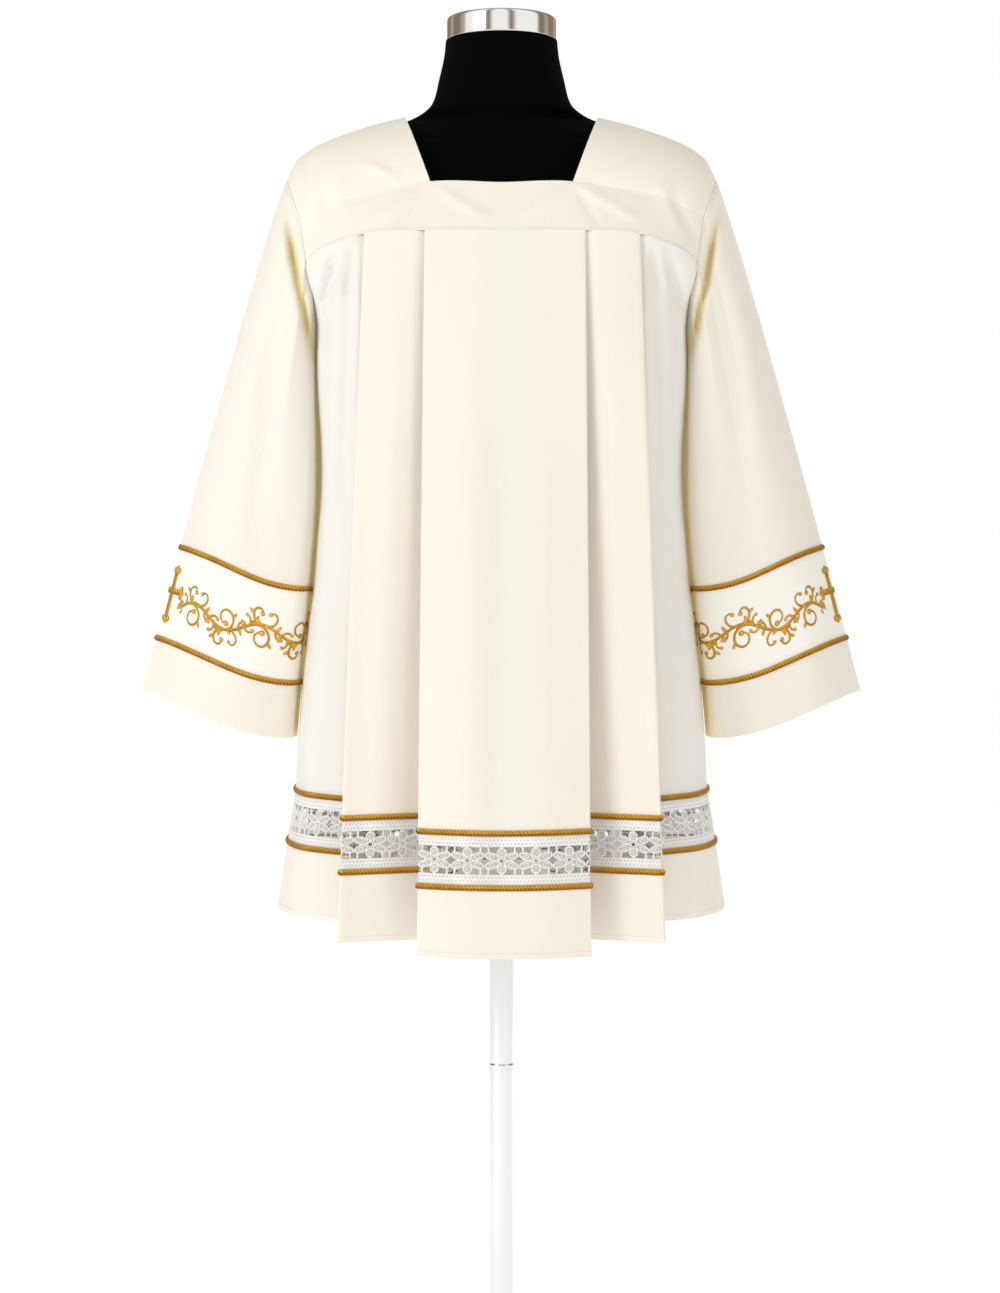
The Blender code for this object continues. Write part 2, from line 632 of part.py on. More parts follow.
def build_sleeve(side, materials, parts):
    cream, gold = materials["cream_cloth"], materials["gold_cord"]
    turned = (lambda grid: grid) if side == "left" else mirrored
    cloth(f"shoulder_{side}", turned(shoulder_grid(side)), cream, parts)
    bands = (("sleeve", above_levels(CUFF_ORNAMENT_TOP), SLEEVE_ROWS),
             ("sleeve_band", band_levels(CUFF_ORNAMENT_TOP, CUFF_BAND), 0),
             ("cuff", band_levels(CUFF_BAND, 0.0), 0))
    for name, levels, rows in bands:
        grid = sleeve_grid(levels, rows)
        cloth(f"{name}_{side}", turned(grid), cream, parts, closed=True)
    for place, level in (("upper", CUFF_ORNAMENT_TOP), ("lower", CUFF_BAND)):
        strip = sleeve_grid(cord_levels(level))
        cord(f"sleeve_cord_{place}_{side}", turned(strip), gold, parts, closed=True)


def form_sections():
    """All the form's sections from its foot to its neck, as rows like those of FORM_BODY."""
    step = 0.001
    shoulder = []
    for breadth, back, front, squareness in FORM_SHOULDER:
        slope = (along(SHOULDER_LINE, breadth + step) - along(SHOULDER_LINE, breadth - step)) / (2 * step)
        height = along(SHOULDER_LINE, breadth) - FORM_CLEARANCE * np.hypot(1, slope)
        shoulder.append((height, breadth, back, front, squareness))
    return [*FORM_BODY, *shoulder, *FORM_NECK]


def form_ring(height, breadth, back, front, squareness):
    turn = 2 * np.pi * np.arange(FORM_SIDES) / FORM_SIDES
    power = 2 / squareness
    across = np.sign(np.cos(turn)) * np.abs(np.cos(turn)) ** power
    deep = np.sign(np.sin(turn)) * np.abs(np.sin(turn)) ** power
    return np.stack([breadth * across, np.where(deep > 0, back, front) * deep, height + 0 * turn], axis=-1)


def build_form_torso(materials, parts):
    """The form's torso and neck, lofted up through its sections and closed at both ends."""
    rings = np.stack([form_ring(*row) for row in form_sections()])[::-1]
    count = len(rings)
    faces = grid_faces(count, FORM_SIDES, closed=True)
    top = tuple(range(FORM_SIDES))
    foot = tuple(range((count - 1) * FORM_SIDES, count * FORM_SIDES))
    mesh = bpy.data.meshes.new("form_torso")
    mesh.from_pydata(rings.reshape(-1, 3).tolist(), [], [*faces, top, foot[::-1]])
    mesh.shade_smooth()
    add_object("form_torso", mesh, materials["black_jersey"], parts)


def build_neck_cap(materials, parts):
    """A turned cap that closes the form's neck."""
    mesh = bpy.data.meshes.new("form_neck_cap")
    count = len(NECK_CAP_PROFILE)
    mesh.from_pydata([(radius, 0.0, height) for radius, height in NECK_CAP_PROFILE],
                     [(i, i + 1) for i in range(count - 1)], [])
    made = add_object("form_neck_cap", mesh, materials["chrome"], parts)
    turned = made.modifiers.new("turned", "SCREW")
    turned.steps = NECK_CAP_SIDES
    turned.render_steps = NECK_CAP_SIDES
    turned.use_merge_vertices = True
    turned.merge_threshold = 0.00001
    turned.use_smooth_shade = True


def build_stand(materials, parts):
    """A pole from the form's foot to a round base on the floor."""
    foot = FORM_BODY[0][0] - SEAM_GAP
    top_of_base = BASE_THICKNESS + SEAM_GAP
    rods = (("form_pole", POLE_RADIUS, top_of_base, foot, 24, "chrome"),
            ("form_base", BASE_RADIUS, 0.0, BASE_THICKNESS, 48, "black_metal"))
    for name, radius, low, high, sides, finish in rods:
        bpy.ops.mesh.primitive_cylinder_add(vertices=sides, radius=radius, depth=high - low,
                                            location=(0, 0, (low + high) / 2))
        made = bpy.context.object
        made.name = name
        made.data.name = name
        made.data.materials.append(materials[finish])
        for holder in made.users_collection:
            holder.objects.unlink(made)
        parts.objects.link(made)
        made.data.shade_smooth()
        made.data.set_sharp_from_angle(angle=math.radians(40))
    edge = bpy.data.objects["form_base"].modifiers.new("edge", "BEVEL")
    edge.width = BASE_EDGE
    edge.segments = 2


def main():
    for found in list(bpy.data.objects):
        bpy.data.objects.remove(found)
    parts = bpy.data.collections.new("surplice_on_dress_form")
    bpy.context.scene.collection.children.link(parts)
    materials = {name: new_material(name) for name in FINISHES}
    for face in ("back", "front"):
        build_body(face, materials, parts)
    for side in ("left", "right"):
        build_sleeve(side, materials, parts)
    build_form_torso(materials, parts)
    build_neck_cap(materials, parts)
    build_stand(materials, parts)


main()
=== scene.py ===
"""Looks of a pleated surplice with lace and gold trim, worn by a limbless dress form.

Units are metres and +Z is up. The wearer's front faces -Y and the wearer's left is at +X. Every
piece of cloth is a grid of points whose rows run down the cloth and whose columns run across it,
to the right of someone who looks at it from outside. Cords, lace, stitches and embroidery are
drawn flat, as distance across the cloth, distance up from its edge and height above it, and are
then laid on the grid.
"""

from __future__ import annotations

import logging
import math
from collections.abc import Sequence
from dataclasses import astuple, dataclass, fields, replace
from enum import Enum
from typing import Any

import bpy
import numpy as np
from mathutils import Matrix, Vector


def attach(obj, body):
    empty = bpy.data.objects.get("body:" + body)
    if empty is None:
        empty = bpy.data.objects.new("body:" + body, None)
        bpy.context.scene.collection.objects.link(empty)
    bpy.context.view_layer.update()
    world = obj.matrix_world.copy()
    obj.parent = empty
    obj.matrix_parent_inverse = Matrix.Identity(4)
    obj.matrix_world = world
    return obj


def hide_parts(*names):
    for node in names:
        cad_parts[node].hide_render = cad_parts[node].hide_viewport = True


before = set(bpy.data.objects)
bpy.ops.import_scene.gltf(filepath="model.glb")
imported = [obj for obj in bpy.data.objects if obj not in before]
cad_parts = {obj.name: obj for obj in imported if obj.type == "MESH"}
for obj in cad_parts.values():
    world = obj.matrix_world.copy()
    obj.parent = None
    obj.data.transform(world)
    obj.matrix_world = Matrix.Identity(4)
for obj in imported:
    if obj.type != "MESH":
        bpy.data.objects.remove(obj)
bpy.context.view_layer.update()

log = logging.getLogger("surplice")

Array = np.ndarray
Table = Sequence[tuple[float, ...]]
Pair = tuple[float, float]
Triple = tuple[float, float, float]
Socket = bpy.types.NodeSocket
Tree = bpy.types.NodeTree
Material = bpy.types.Material
Mesh = bpy.types.Mesh
Object = bpy.types.Object

BODY = "root"

# ---- Cloth ----
WALL = 0.0012
SEAM_GAP = 0.00002
SIDE_SEAM_CLEARANCE = 0.0004
YOKE_CLEARANCE = 0.00006
LAYER_STEP = 0.002

# ---- Heights above the floor, and bands measured up from the edge that they finish ----
YOKE_SEAM_HEIGHT = 1.3166
HEM_HEIGHT = 0.588
HEM_BAND = 0.0695
HEM_LACE_TOP = 0.1235
CUFF_BAND = 0.0575
CUFF_ORNAMENT_TOP = 0.1555

# ---- Yoke and shoulders, breadths from the middle ----
NECK_CORNER = 0.0725
NECK_AT_SHOULDER = 0.1013
ARMHOLE_AT_SEAM = 0.1998
ARMHOLE_AT_YOKE_TOP = 0.2077
ARMHOLE_AT_SHOULDER = 0.2242
YOKE_ROUNDNESS = 3.0
YOKE_OVAL_SEAM = 0.222
YOKE_OVAL_TOP = 0.2277

# Columns: breadth from the middle, height.
SHOULDER_LINE = ((0.1013, 1.4480), (0.138, 1.4390), (0.156, 1.4332), (0.180, 1.4245),
                 (0.2011, 1.4138), (0.2155, 1.4010), (0.2242, 1.3830))
YOKE_LOWER_SEAM = ((0.0, 1.3166), (0.07, 1.3164), (0.14, 1.3140), (0.164, 1.3078),
                   (0.1927, 1.2950), (0.1998, 1.2885))
YOKE_UPPER_SEAM = ((0.0, 1.3672), (0.0725, 1.3680), (0.0950, 1.3650), (0.1725, 1.3520),
                   (0.2077, 1.3375))
# Columns: share of the way from the yoke's corner to the side seam, height.
ARMHOLE_LINE = ((0.0, 1.2885), (0.25, 1.2580), (0.5, 1.2300), (0.75, 1.2050), (1.0, 1.1900))
# Columns: height, breadth of the side seam from the middle.
SIDE_SEAM = ((0.6257, 0.2326), (0.70, 0.2220), (0.745, 0.2150), (0.797, 0.2120), (0.857, 0.2077),
             (0.923, 0.2010), (0.957, 0.1970), (1.006, 0.1936), (1.045, 0.1908), (1.080, 0.1902),
             (1.114, 0.1915), (1.15, 0.1938), (1.19, 0.1950), (1.23, 0.1945), (1.258, 0.1990),
             (1.2885, 0.2025), (1.3166, 0.2030))
# Share of the side panel over which the side seam's own line fades in from the pleats.
SIDE_DRAW = 0.5
# Distance below the yoke's seam over which that line takes hold.
SEAM_HOLD = 0.030


class Face(Enum):
    """The back or the front of the surplice."""

    BACK = "back"
    FRONT = "front"


class Side(Enum):
    """The wearer's left or right."""

    LEFT = "left"
    RIGHT = "right"

    @property
    def sign(self) -> float:
        """1 on the left and -1 on the right, as on the X axis."""
        return 1.0 if self is Side.LEFT else -1.0

    def placed(self, points: Array) -> Array:
        """Points worked out as on the left, taken to this side, or back again."""
        return points * (self.sign, 1, 1)


class Hold(Enum):
    """How a sheet of cloth is held."""

    DRAPED = "draped"
    HUNG = "hung"


class Slot(Enum):
    """Material slots of the object's finishes."""

    CREAM = "cream_cloth"
    LACE = "white_lace"
    GOLD = "gold_cord"
    JERSEY = "black_jersey"
    CHROME = "chrome"
    METAL = "black_metal"


# ---- Small helpers ----
def along(table: Table, at: Array) -> Array:
    """Reads a table by a smooth curve through its rows.

    Between two rows the value is a cubic whose slopes at both are those of the table there.

    Args:
        table: rows of place and value, in rising order of place.
        at: the places to read, held inside the table.

    Returns:
        The values there.
    """
    places = np.array([row[0] for row in table])
    values = np.array([row[1] for row in table])
    slopes = np.gradient(values, places)
    at = np.clip(at, places[0], places[-1])
    row = np.clip(np.searchsorted(places, at, side="right") - 1, 0, len(places) - 2)
    span = places[row + 1] - places[row]
    s = (at - places[row]) / span
    rise = values[row + 1] - values[row]
    return (values[row] + rise * s * s * (3 - 2 * s)
            + span * s * (1 - s) * (slopes[row] * (1 - s) - slopes[row + 1] * s))


def between(first: Any, last: Any, share: Any) -> Any:
    """The value at a share of the straight way from the first to the last."""
    return first + (last - first) * share


def soft_step(x: Array) -> Array:
    """Rises smoothly from 0 at 0 to 1 at 1: three squares less two cubes."""
    x = np.clip(x, 0.0, 1.0)
    return x * x * (3 - 2 * x)


def power_of(x: Array, power: Array | float) -> Array:
    """The size of x to a power, with the sign of x."""
    return np.sign(x) * np.abs(x) ** power


def leaned(x: Array, y: Array, lean: float) -> tuple[Array, Array]:
    """Places on a plane, turned anticlockwise about its middle."""
    return x * math.cos(lean) - y * math.sin(lean), x * math.sin(lean) + y * math.cos(lean)


def oval(angle: Array, size: Pair, point: float = 0.0) -> Array:
    """An oval whose breadth shrinks towards its outer end, as in a leaf.

    Args:
        angle: angles round it.
        size: its half length and half breadth.
        point: how much the outer end is drawn to a point.

    Returns:
        Its two coordinates, one above the other: the angle's cosine and its narrowed sine.
    """
    return np.stack([size[0] * np.cos(angle),
                     size[1] * np.sin(angle) * (1 - point * (1 + np.cos(angle)) / 2)])


def steps(count: int, with_start: bool = False) -> Array:
    """Even shares up to 1, from 0 where with_start is set."""
    found = np.linspace(0.0, 1.0, count + 1)
    return found if with_start else found[1:]


def unit(vectors: Array) -> Array:
    """Vectors scaled to length 1."""
    return vectors / np.maximum(np.linalg.norm(vectors, axis=-1, keepdims=True), 1e-12)


def run_length(points: Array) -> Array:
    """Distance along a line of points, from 0 at its first."""
    return np.concatenate([[0.0], np.cumsum(np.linalg.norm(np.diff(points, axis=0), axis=1))])


def level_line(start: float, end: float, level: float, count: int, whole: bool = True) -> Array:
    """Places evenly along a line across the cloth at one height, without the last if not whole."""
    across = np.linspace(start, end, count, endpoint=whole)
    return np.stack([across, np.full(count, level)], axis=-1)


def curve_through(points: Array, count: int) -> Array:
    """A smooth line through points: each stretch is the cubic of its four nearest points.

    Args:
        points: rows of any number of values.
        count: number of points wanted on the line.

    Returns:
        Points evenly spaced in the order of the given ones.
    """
    points = np.asarray(points, float)
    padded = np.concatenate([[2 * points[0] - points[1]], points, [2 * points[-1] - points[-2]]])
    at = np.linspace(0.0, len(points) - 1, count)
    row = np.minimum(at.astype(int), len(points) - 2)
    s = (at - row)[:, None]
    a, b, c, d = (padded[row + i] for i in range(4))
    return b + 0.5 * s * (c - a + s * (2 * a - 5 * b + 4 * c - d + s * (3 * (b - c) + d - a)))


@dataclass(frozen=True)
class Crease:
    """A soft ridge or trough along a straight line drawn on the cloth.

    Its height is a bell across the line, and it rises and dies away smoothly along it.
    """

    start: Pair
    end: Pair
    width: float
    height: float

    def relief(self, across: Array, up: Array) -> Array:
        """How far the cloth is lifted at each place.

        Args:
            across: first coordinate of each place.
            up: second coordinate of each place.

        Returns:
            The lift, below 0 in a trough.
        """
        line = np.subtract(self.end, self.start)
        length = math.hypot(*line)
        beyond = ((across - self.start[0]) * line[0] + (up - self.start[1]) * line[1]) / length ** 2
        aside = ((across - self.start[0]) * line[1] - (up - self.start[1]) * line[0]) / length
        ends = soft_step((beyond + 0.12) / 0.4) * soft_step((1.12 - beyond) / 0.4)
        return self.height * ends * np.exp(-(aside / self.width) ** 2)


def creases(*rows: tuple[int, ...]) -> tuple[Crease, ...]:
    """Creases from rows of start, end, width and height, in tenths of a millimetre."""
    metres = (np.array(rows) / 10000).tolist()
    return tuple(Crease((a, b), (c, d), width, height) for a, b, c, d, width, height in metres)


def relief_of(lines: Sequence[Crease], across: Array, up: Array) -> Array:
    """The sum of the creases' lifts."""
    return sum((crease.relief(across, up) for crease in lines), np.zeros(np.shape(across)))


# ---- Surfaces ----
class GridSurface:
    """Cloth held as a grid of points, which can be read anywhere on it.

    The rows are evenly spaced from the upper edge to the lower. A point between four of the grid is
    the average of them weighted by nearness, and so is its outward direction.
    """

    def __init__(self, points: Array, closed: bool = False) -> None:
        """Takes the grid.

        Args:
            points: rows by columns by three.
            closed: whether the last column joins the first.
        """
        self.closed = closed
        self.points = np.concatenate([points, points[:, :1]], axis=1) if closed else points
        self.outward = self._outward()
        middle = self.points[-1] * 0.5 + self.points[int(len(points) * 0.8)] * 0.5
        self.across = run_length(middle)
        lower = self.points[int(len(points) * 0.65):]
        run = np.linalg.norm(np.diff(lower, axis=0), axis=-1).sum(axis=0)
        self.lengths = run * (len(points) - 1) / (len(lower) - 1)

    def _outward(self) -> Array:
        """Unit directions square to the rows and the columns."""
        down = np.gradient(self.points, axis=0)
        across = np.gradient(self.points, axis=1)
        if self.closed:
            ends = self.points[:, 1] - self.points[:, -2]
            across[:, 0] = ends
            across[:, -1] = ends
        return unit(np.cross(down, across))

    @property
    def breadth(self) -> float:
        """Distance across the cloth by its lower edge."""
        return float(self.across[-1])

    def raised(self, relief: Array) -> GridSurface:
        """The same cloth, lifted outwards by relief at each of its points."""
        columns = self.points.shape[1] - self.closed
        points = self.points[:, :columns] + self.outward[:, :columns] * relief[:, :columns, None]
        return GridSurface(points, self.closed)

    def read(self, values: Array, row: Array, column: Array) -> Array:
        """Values of a grid between its points.

        Args:
            values: rows by columns by any number.
            row: row of each place, which may lie between two.
            column: column of each place, which may lie between two.

        Returns:
            The values there.
        """
        rows, columns = values.shape[:2]
        row = np.clip(row, 0, rows - 1)
        column = np.mod(column, columns - 1) if self.closed else np.clip(column, 0, columns - 1)
        i = np.minimum(row.astype(int), rows - 2)
        j = np.minimum(column.astype(int), columns - 2)
        s, t = (row - i)[..., None], (column - j)[..., None]
        return ((values[i, j] * (1 - t) + values[i, j + 1] * t) * (1 - s)
                + (values[i + 1, j] * (1 - t) + values[i + 1, j + 1] * t) * s)

    def column_at(self, across: Array) -> Array:
        """The column at a distance across the cloth."""
        if self.closed:
            across = np.mod(across, self.breadth)
        return np.interp(across, self.across, np.arange(len(self.across)))

    def row_at(self, up: Array, column: Array) -> Array:
        """The row at a distance up from the cloth's lower edge."""
        reach = np.interp(np.mod(column, len(self.lengths) - 1) if self.closed else column,
                          np.arange(len(self.lengths)), self.lengths)
        return (len(self.points) - 1) * (1 - up / reach)

    def laid(self, flat: Array) -> Array:
        """Places drawn flat, taken onto the cloth.

        Args:
            flat: distance across, distance up from the lower edge and height above the cloth.

        Returns:
            Points in space.
        """
        column = self.column_at(flat[..., 0])
        row = self.row_at(flat[..., 1], column)
        outward = unit(self.read(self.outward, row, column))
        return self.read(self.points, row, column) + outward * flat[..., 2:3]


# ---- Meshes ----
def grid_faces(rows: int, columns: int, wrapped: bool, looped: bool = False) -> Array:
    """Quads over a grid, wound so that down crossed with across points outwards.

    Args:
        rows: number of rows of points.
        columns: number of columns of points.
        wrapped: whether the last column joins the first.
        looped: whether the last row joins the first.

    Returns:
        Four point numbers for each face.
    """
    row, column = np.meshgrid(np.arange(rows if looped else rows - 1),
                              np.arange(columns if wrapped else columns - 1), indexing="ij")
    below = (row + 1) % rows
    following = (column + 1) % columns
    corners = (row * columns + column, below * columns + column,
               below * columns + following, row * columns + following)
    return np.stack(corners, axis=-1).reshape(-1, 4)


def make_mesh(name: str, points: Array, faces: Sequence[Array], places: Array | None = None,
              marks: dict[str, Array] | None = None) -> Mesh:
    """Makes a mesh from whole arrays.

    Args:
        name: the mesh's name.
        points: a row for each point.
        faces: arrays of faces, each with its own number of corners.
        places: the flat place of each point or of each corner, kept as the UV map "cloth".
        marks: values for each point, kept as attributes by name.

    Returns:
        The mesh, shaded smooth.
    """
    faces = [group for group in faces if len(group)]
    corners = np.concatenate([group.reshape(-1) for group in faces]).astype(np.int32)
    sizes = np.repeat([group.shape[1] for group in faces], [len(group) for group in faces])
    starts = (np.cumsum(sizes) - sizes).astype(np.int32)
    mesh = bpy.data.meshes.new(name)
    mesh.vertices.add(len(points))
    mesh.vertices.foreach_set("co", points.astype(np.float32).ravel())
    mesh.loops.add(len(corners))
    mesh.loops.foreach_set("vertex_index", corners)
    mesh.polygons.add(len(sizes))
    mesh.polygons.foreach_set("loop_start", starts)
    mesh.polygons.foreach_set("loop_total", sizes.astype(np.int32))
    mesh.update(calc_edges=True)
    if places is not None:
        layer = mesh.uv_layers.new(name="cloth")
        at_corners = places[corners] if len(places) == len(points) else places
        layer.data.foreach_set("uv", at_corners.astype(np.float32).ravel())
    for mark, values in (marks or {}).items():
        attribute = mesh.attributes.new(mark, "FLOAT", "POINT")
        attribute.data.foreach_set("value", values.astype(np.float32).ravel())
    mesh.validate()
    mesh.shade_smooth()
    return mesh


def tube_faces(rings: int, sides: int, looped: bool = False) -> tuple[Array, Array]:
    """Faces of a tube whose rings follow one another, wound the other way than a grid's.

    Args:
        rings: number of rings.
        sides: number of points round each.
        looped: whether the last ring joins the first, which leaves no ends to close.

    Returns:
        Its quads, and the triangles that close its ends.
    """
    quads = grid_faces(rings, sides, True, looped)[:, [0, 3, 2, 1]]
    third = np.arange(1, sides - 1)
    start = np.stack([0 * third, third + 1, third], axis=1)
    ends = np.concatenate([start, start[:, ::-1] + (rings - 1) * sides])
    return quads, ends[:0] if looped else ends


@dataclass(frozen=True)
class FlatShape:
    """One shape drawn flat: its places, faces, where its thread pattern is read, and its painted
    shade.
    """

    points: Array
    quads: Array
    fans: Array
    places: Array
    shade: Array


class FlatWork:
    """Small shapes drawn flat, gathered into one mesh and laid on cloth.

    A place is distance across, distance up and height above the cloth, which make a right-handed
    set, so faces that point outwards in the drawing do so on the cloth.
    """

    def __init__(self) -> None:
        """Starts with nothing drawn."""
        self.shapes: list[FlatShape] = []

    def band(self, path: Array, half_width: Array | float, height: Array | float, base: float,
             sides: int = 8, squareness: float = 2.0, closed: bool = False, twist: float = 0.0,
             strands: int = 0, strand_depth: float = 1.0, fall: float = 0.0) -> None:
        """Draws a rounded band along a path.

        Its section is an oval, made squarer by a power, of which the lower half is flattened. With
        strands, the section swells and sinks round it, and that turns along the path as in a rope.

        Args:
            path: rows of distance across and distance up.
            half_width: half the band's width, or that at each point of the path.
            height: its height, or that at each point.
            base: height of its middle above the cloth.
            sides: number of points round the section.
            squareness: 2 for an oval, more for a squarer one.
            closed: whether the path's end joins its start.
            twist: length of path in which the strands turn once.
            strands: number of strands in the rope.
            strand_depth: share of the section's radius that lies between two strands' backs.
            fall: how much more painted shade is put on its lower side than on its upper, as if lit
                from above.
        """
        flattened, hollow_shade, hollow_power = 0.35, 0.6, 1.5
        count = len(path)
        half_width = np.broadcast_to(half_width, count)[:, None]
        height = np.broadcast_to(height, count)[:, None]
        ahead = np.gradient(path, axis=0)
        if closed:
            ahead = np.roll(path, -1, axis=0) - np.roll(path, 1, axis=0)
            ahead[[0, -1]] = ahead[[1, -2]]
        ahead = unit(ahead)
        aside = np.stack([-ahead[:, 1], ahead[:, 0]], axis=1)
        length = run_length(path)
        angle = 2 * np.pi * np.arange(sides) / sides
        out = power_of(np.cos(angle), 2 / squareness)
        rise = power_of(np.sin(angle), 2 / squareness)
        swell = np.ones((count, sides))
        if strands:
            turn = strands / 2 * (angle - 2 * np.pi * length[:, None] / twist)
            swell = 1 - strand_depth * (1 - np.abs(np.cos(turn))) ** hollow_power
        offset = half_width * out * swell
        lift = base + height * np.where(rise > 0, rise, rise * flattened) * swell
        flat = path[:, None] + aside[:, None] * offset[..., None]
        points = np.concatenate([flat, lift[..., None]], axis=-1)
        around = np.broadcast_to(angle / (2 * np.pi), (count, sides))
        places = np.stack([np.broadcast_to(length[:, None], (count, sides)), around], axis=-1)
        # Painted shade: darker in the hollows between strands, and darker on the lower side than on
        # the upper.
        shade = hollow_shade * (1 - swell) / strand_depth + fall * (0.5 - 0.5 * aside[:, 1:] * out)
        self.shapes.append(FlatShape(points.reshape(-1, 3), *tube_faces(count, sides, closed),
                                     places.reshape(-1, 2), shade.reshape(-1)))

    def pad(self, centre: Pair, size: Pair, lean: float,
            rings: Table, sides: int = 14, point: float = 0.0) -> None:
        """Draws an oval pad with rings in relief.

        Args:
            centre: its middle.
            size: its half length and half breadth.
            lean: angle of its length, anticlockwise from straight across.
            rings: rows of radius share, height and painted shade, from the foot of its side to its
                middle.
            sides: number of points round it.
            point: how much its outer end is drawn to a point.
        """
        angle = 2 * np.pi * np.arange(sides) / sides
        radius, height, shade = (np.array(column)[:, None] for column in zip(*rings))
        x, y = oval(angle, size, point)
        across, up = leaned(radius * x, radius * y, lean)
        points = np.stack([centre[0] + across, centre[1] + up, height + 0 * angle], axis=-1)
        points = points.reshape(-1, 3)
        self.shapes.append(FlatShape(points, *tube_faces(len(rings), sides), points[:, :2],
                                     (shade + 0 * angle).reshape(-1)))

    def joined(self) -> FlatShape:
        """All the shapes as one."""
        starts = np.cumsum([0, *(len(shape.points) for shape in self.shapes)])
        numbered = [replace(shape, quads=shape.quads + start, fans=shape.fans + start)
                    for shape, start in zip(self.shapes, starts)]
        parts = ([getattr(shape, part.name) for shape in numbered] for part in fields(FlatShape))
        return FlatShape(*(np.concatenate(part) for part in parts))

    def repeated(self, shifts: Array) -> FlatWork:
        """The same drawing again at each shift across."""
        one = self.joined()
        made = FlatWork()
        made.shapes = [replace(one, points=one.points + (shift, 0, 0)) for shift in shifts]
        return made

    def mesh_on(self, name: str, cloth: GridSurface) -> Mesh:
        """The drawing laid on cloth, as a mesh."""
        one = self.joined()
        return make_mesh(name, cloth.laid(one.points), [one.quads, one.fans], one.places,
                         {"shade": one.shade})


def add_piece(mesh: Mesh, material: Material,
              nodes: Sequence[str] = ()) -> Object:
    """Puts a mesh in the scene as a piece of the object.

    Args:
        mesh: the piece's mesh, in its place.
        material: its finish.
        nodes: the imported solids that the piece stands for.

    Returns:
        The piece's object.
    """
    piece = bpy.data.objects.new(mesh.name, mesh)
    bpy.context.scene.collection.objects.link(piece)
    mesh.materials.append(material)
    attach(piece, BODY)
    if nodes:
        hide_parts(*nodes)
    log.info("%s: %d faces", piece.name, len(mesh.polygons))
    return piece


def trimmed(name: str, work: FlatWork, cloth: GridSurface, material: Material, slot: Slot,
            *nodes: str) -> Object:
    """Makes a piece of trimming from its drawing, laid on cloth."""
    return add_piece(work.mesh_on(name, cloth), material, nodes)


def add_wall(piece: Object) -> None:
    """Gives a piece of cloth its thickness, half to each side."""
    wall = piece.modifiers.new("wall", "SOLIDIFY")
    wall.thickness = WALL
    wall.offset = 0.0
    wall.use_even_offset = True
    wall.use_quality_normals = True


# ---- Materials ----
class Wiring:
    """Adds nodes to a tree and joins them."""

    def __init__(self, tree: Tree) -> None:
        """Takes the tree to work in."""
        self.tree = tree

    def add(self, kind: str, inputs: dict[str | int, Any] | None = None,
            **settings: Any) -> bpy.types.Node:
        """Adds a node.

        Args:
            kind: the node's type, without its leading "ShaderNode".
            inputs: what each input takes, by name or place: a socket to join or a value.
            settings: the node's own properties.

        Returns:
            The node.
        """
        node = self.tree.nodes.new("ShaderNode" + kind)
        for name, value in settings.items():
            setattr(node, name, value)
        for name, value in (inputs or {}).items():
            if isinstance(value, Socket):
                self.tree.links.new(value, node.inputs[name])
            else:
                node.inputs[name].default_value = value
        return node

    def maths(self, operation: str, first: Any, second: Any = 0.0) -> Socket:
        """The result of a sum on two values."""
        return self.add("Math", {0: first, 1: second}, operation=operation).outputs[0]

    def mixed(self, share: Any, first: Any, second: Any) -> Socket:
        """A colour between two, by a share."""
        return self.add("Mix", {0: share, 6: first, 7: second}, data_type="RGBA").outputs[2]

    def ranged(self, value: Any, low: float, high: float) -> Socket:
        """A value from 0 to 1 taken to lie from low to high."""
        return self.add("MapRange", {"Value": value, "To Min": low, "To Max": high}).outputs[0]


class Effect(Wiring):
    """A node group in the making, which takes a vector and numbers and gives numbers."""

    def __init__(self, name: str, takes: dict[str, float], gives: Sequence[str]) -> None:
        """Starts the group.

        Args:
            name: the group's name.
            takes: the numbers that it takes besides the vector, with their usual values.
            gives: the numbers that it gives.
        """
        super().__init__(bpy.data.node_groups.new(name, "ShaderNodeTree"))
        sockets = self.tree.interface
        sockets.new_socket("Vector", in_out="INPUT", socket_type="NodeSocketVector")
        for socket, value in takes.items():
            made = sockets.new_socket(socket, in_out="INPUT", socket_type="NodeSocketFloat")
            made.default_value = value
        for socket in gives:
            sockets.new_socket(socket, in_out="OUTPUT", socket_type="NodeSocketFloat")
        self.taken = self.tree.nodes.new("NodeGroupInput").outputs
        self.given = self.tree.nodes.new("NodeGroupOutput").inputs

    def done(self, **results: Socket) -> Tree:
        """Joins the results to what the group gives, and hands over the group."""
        for name, result in results.items():
            self.tree.links.new(result, self.given[name])
        return self.tree


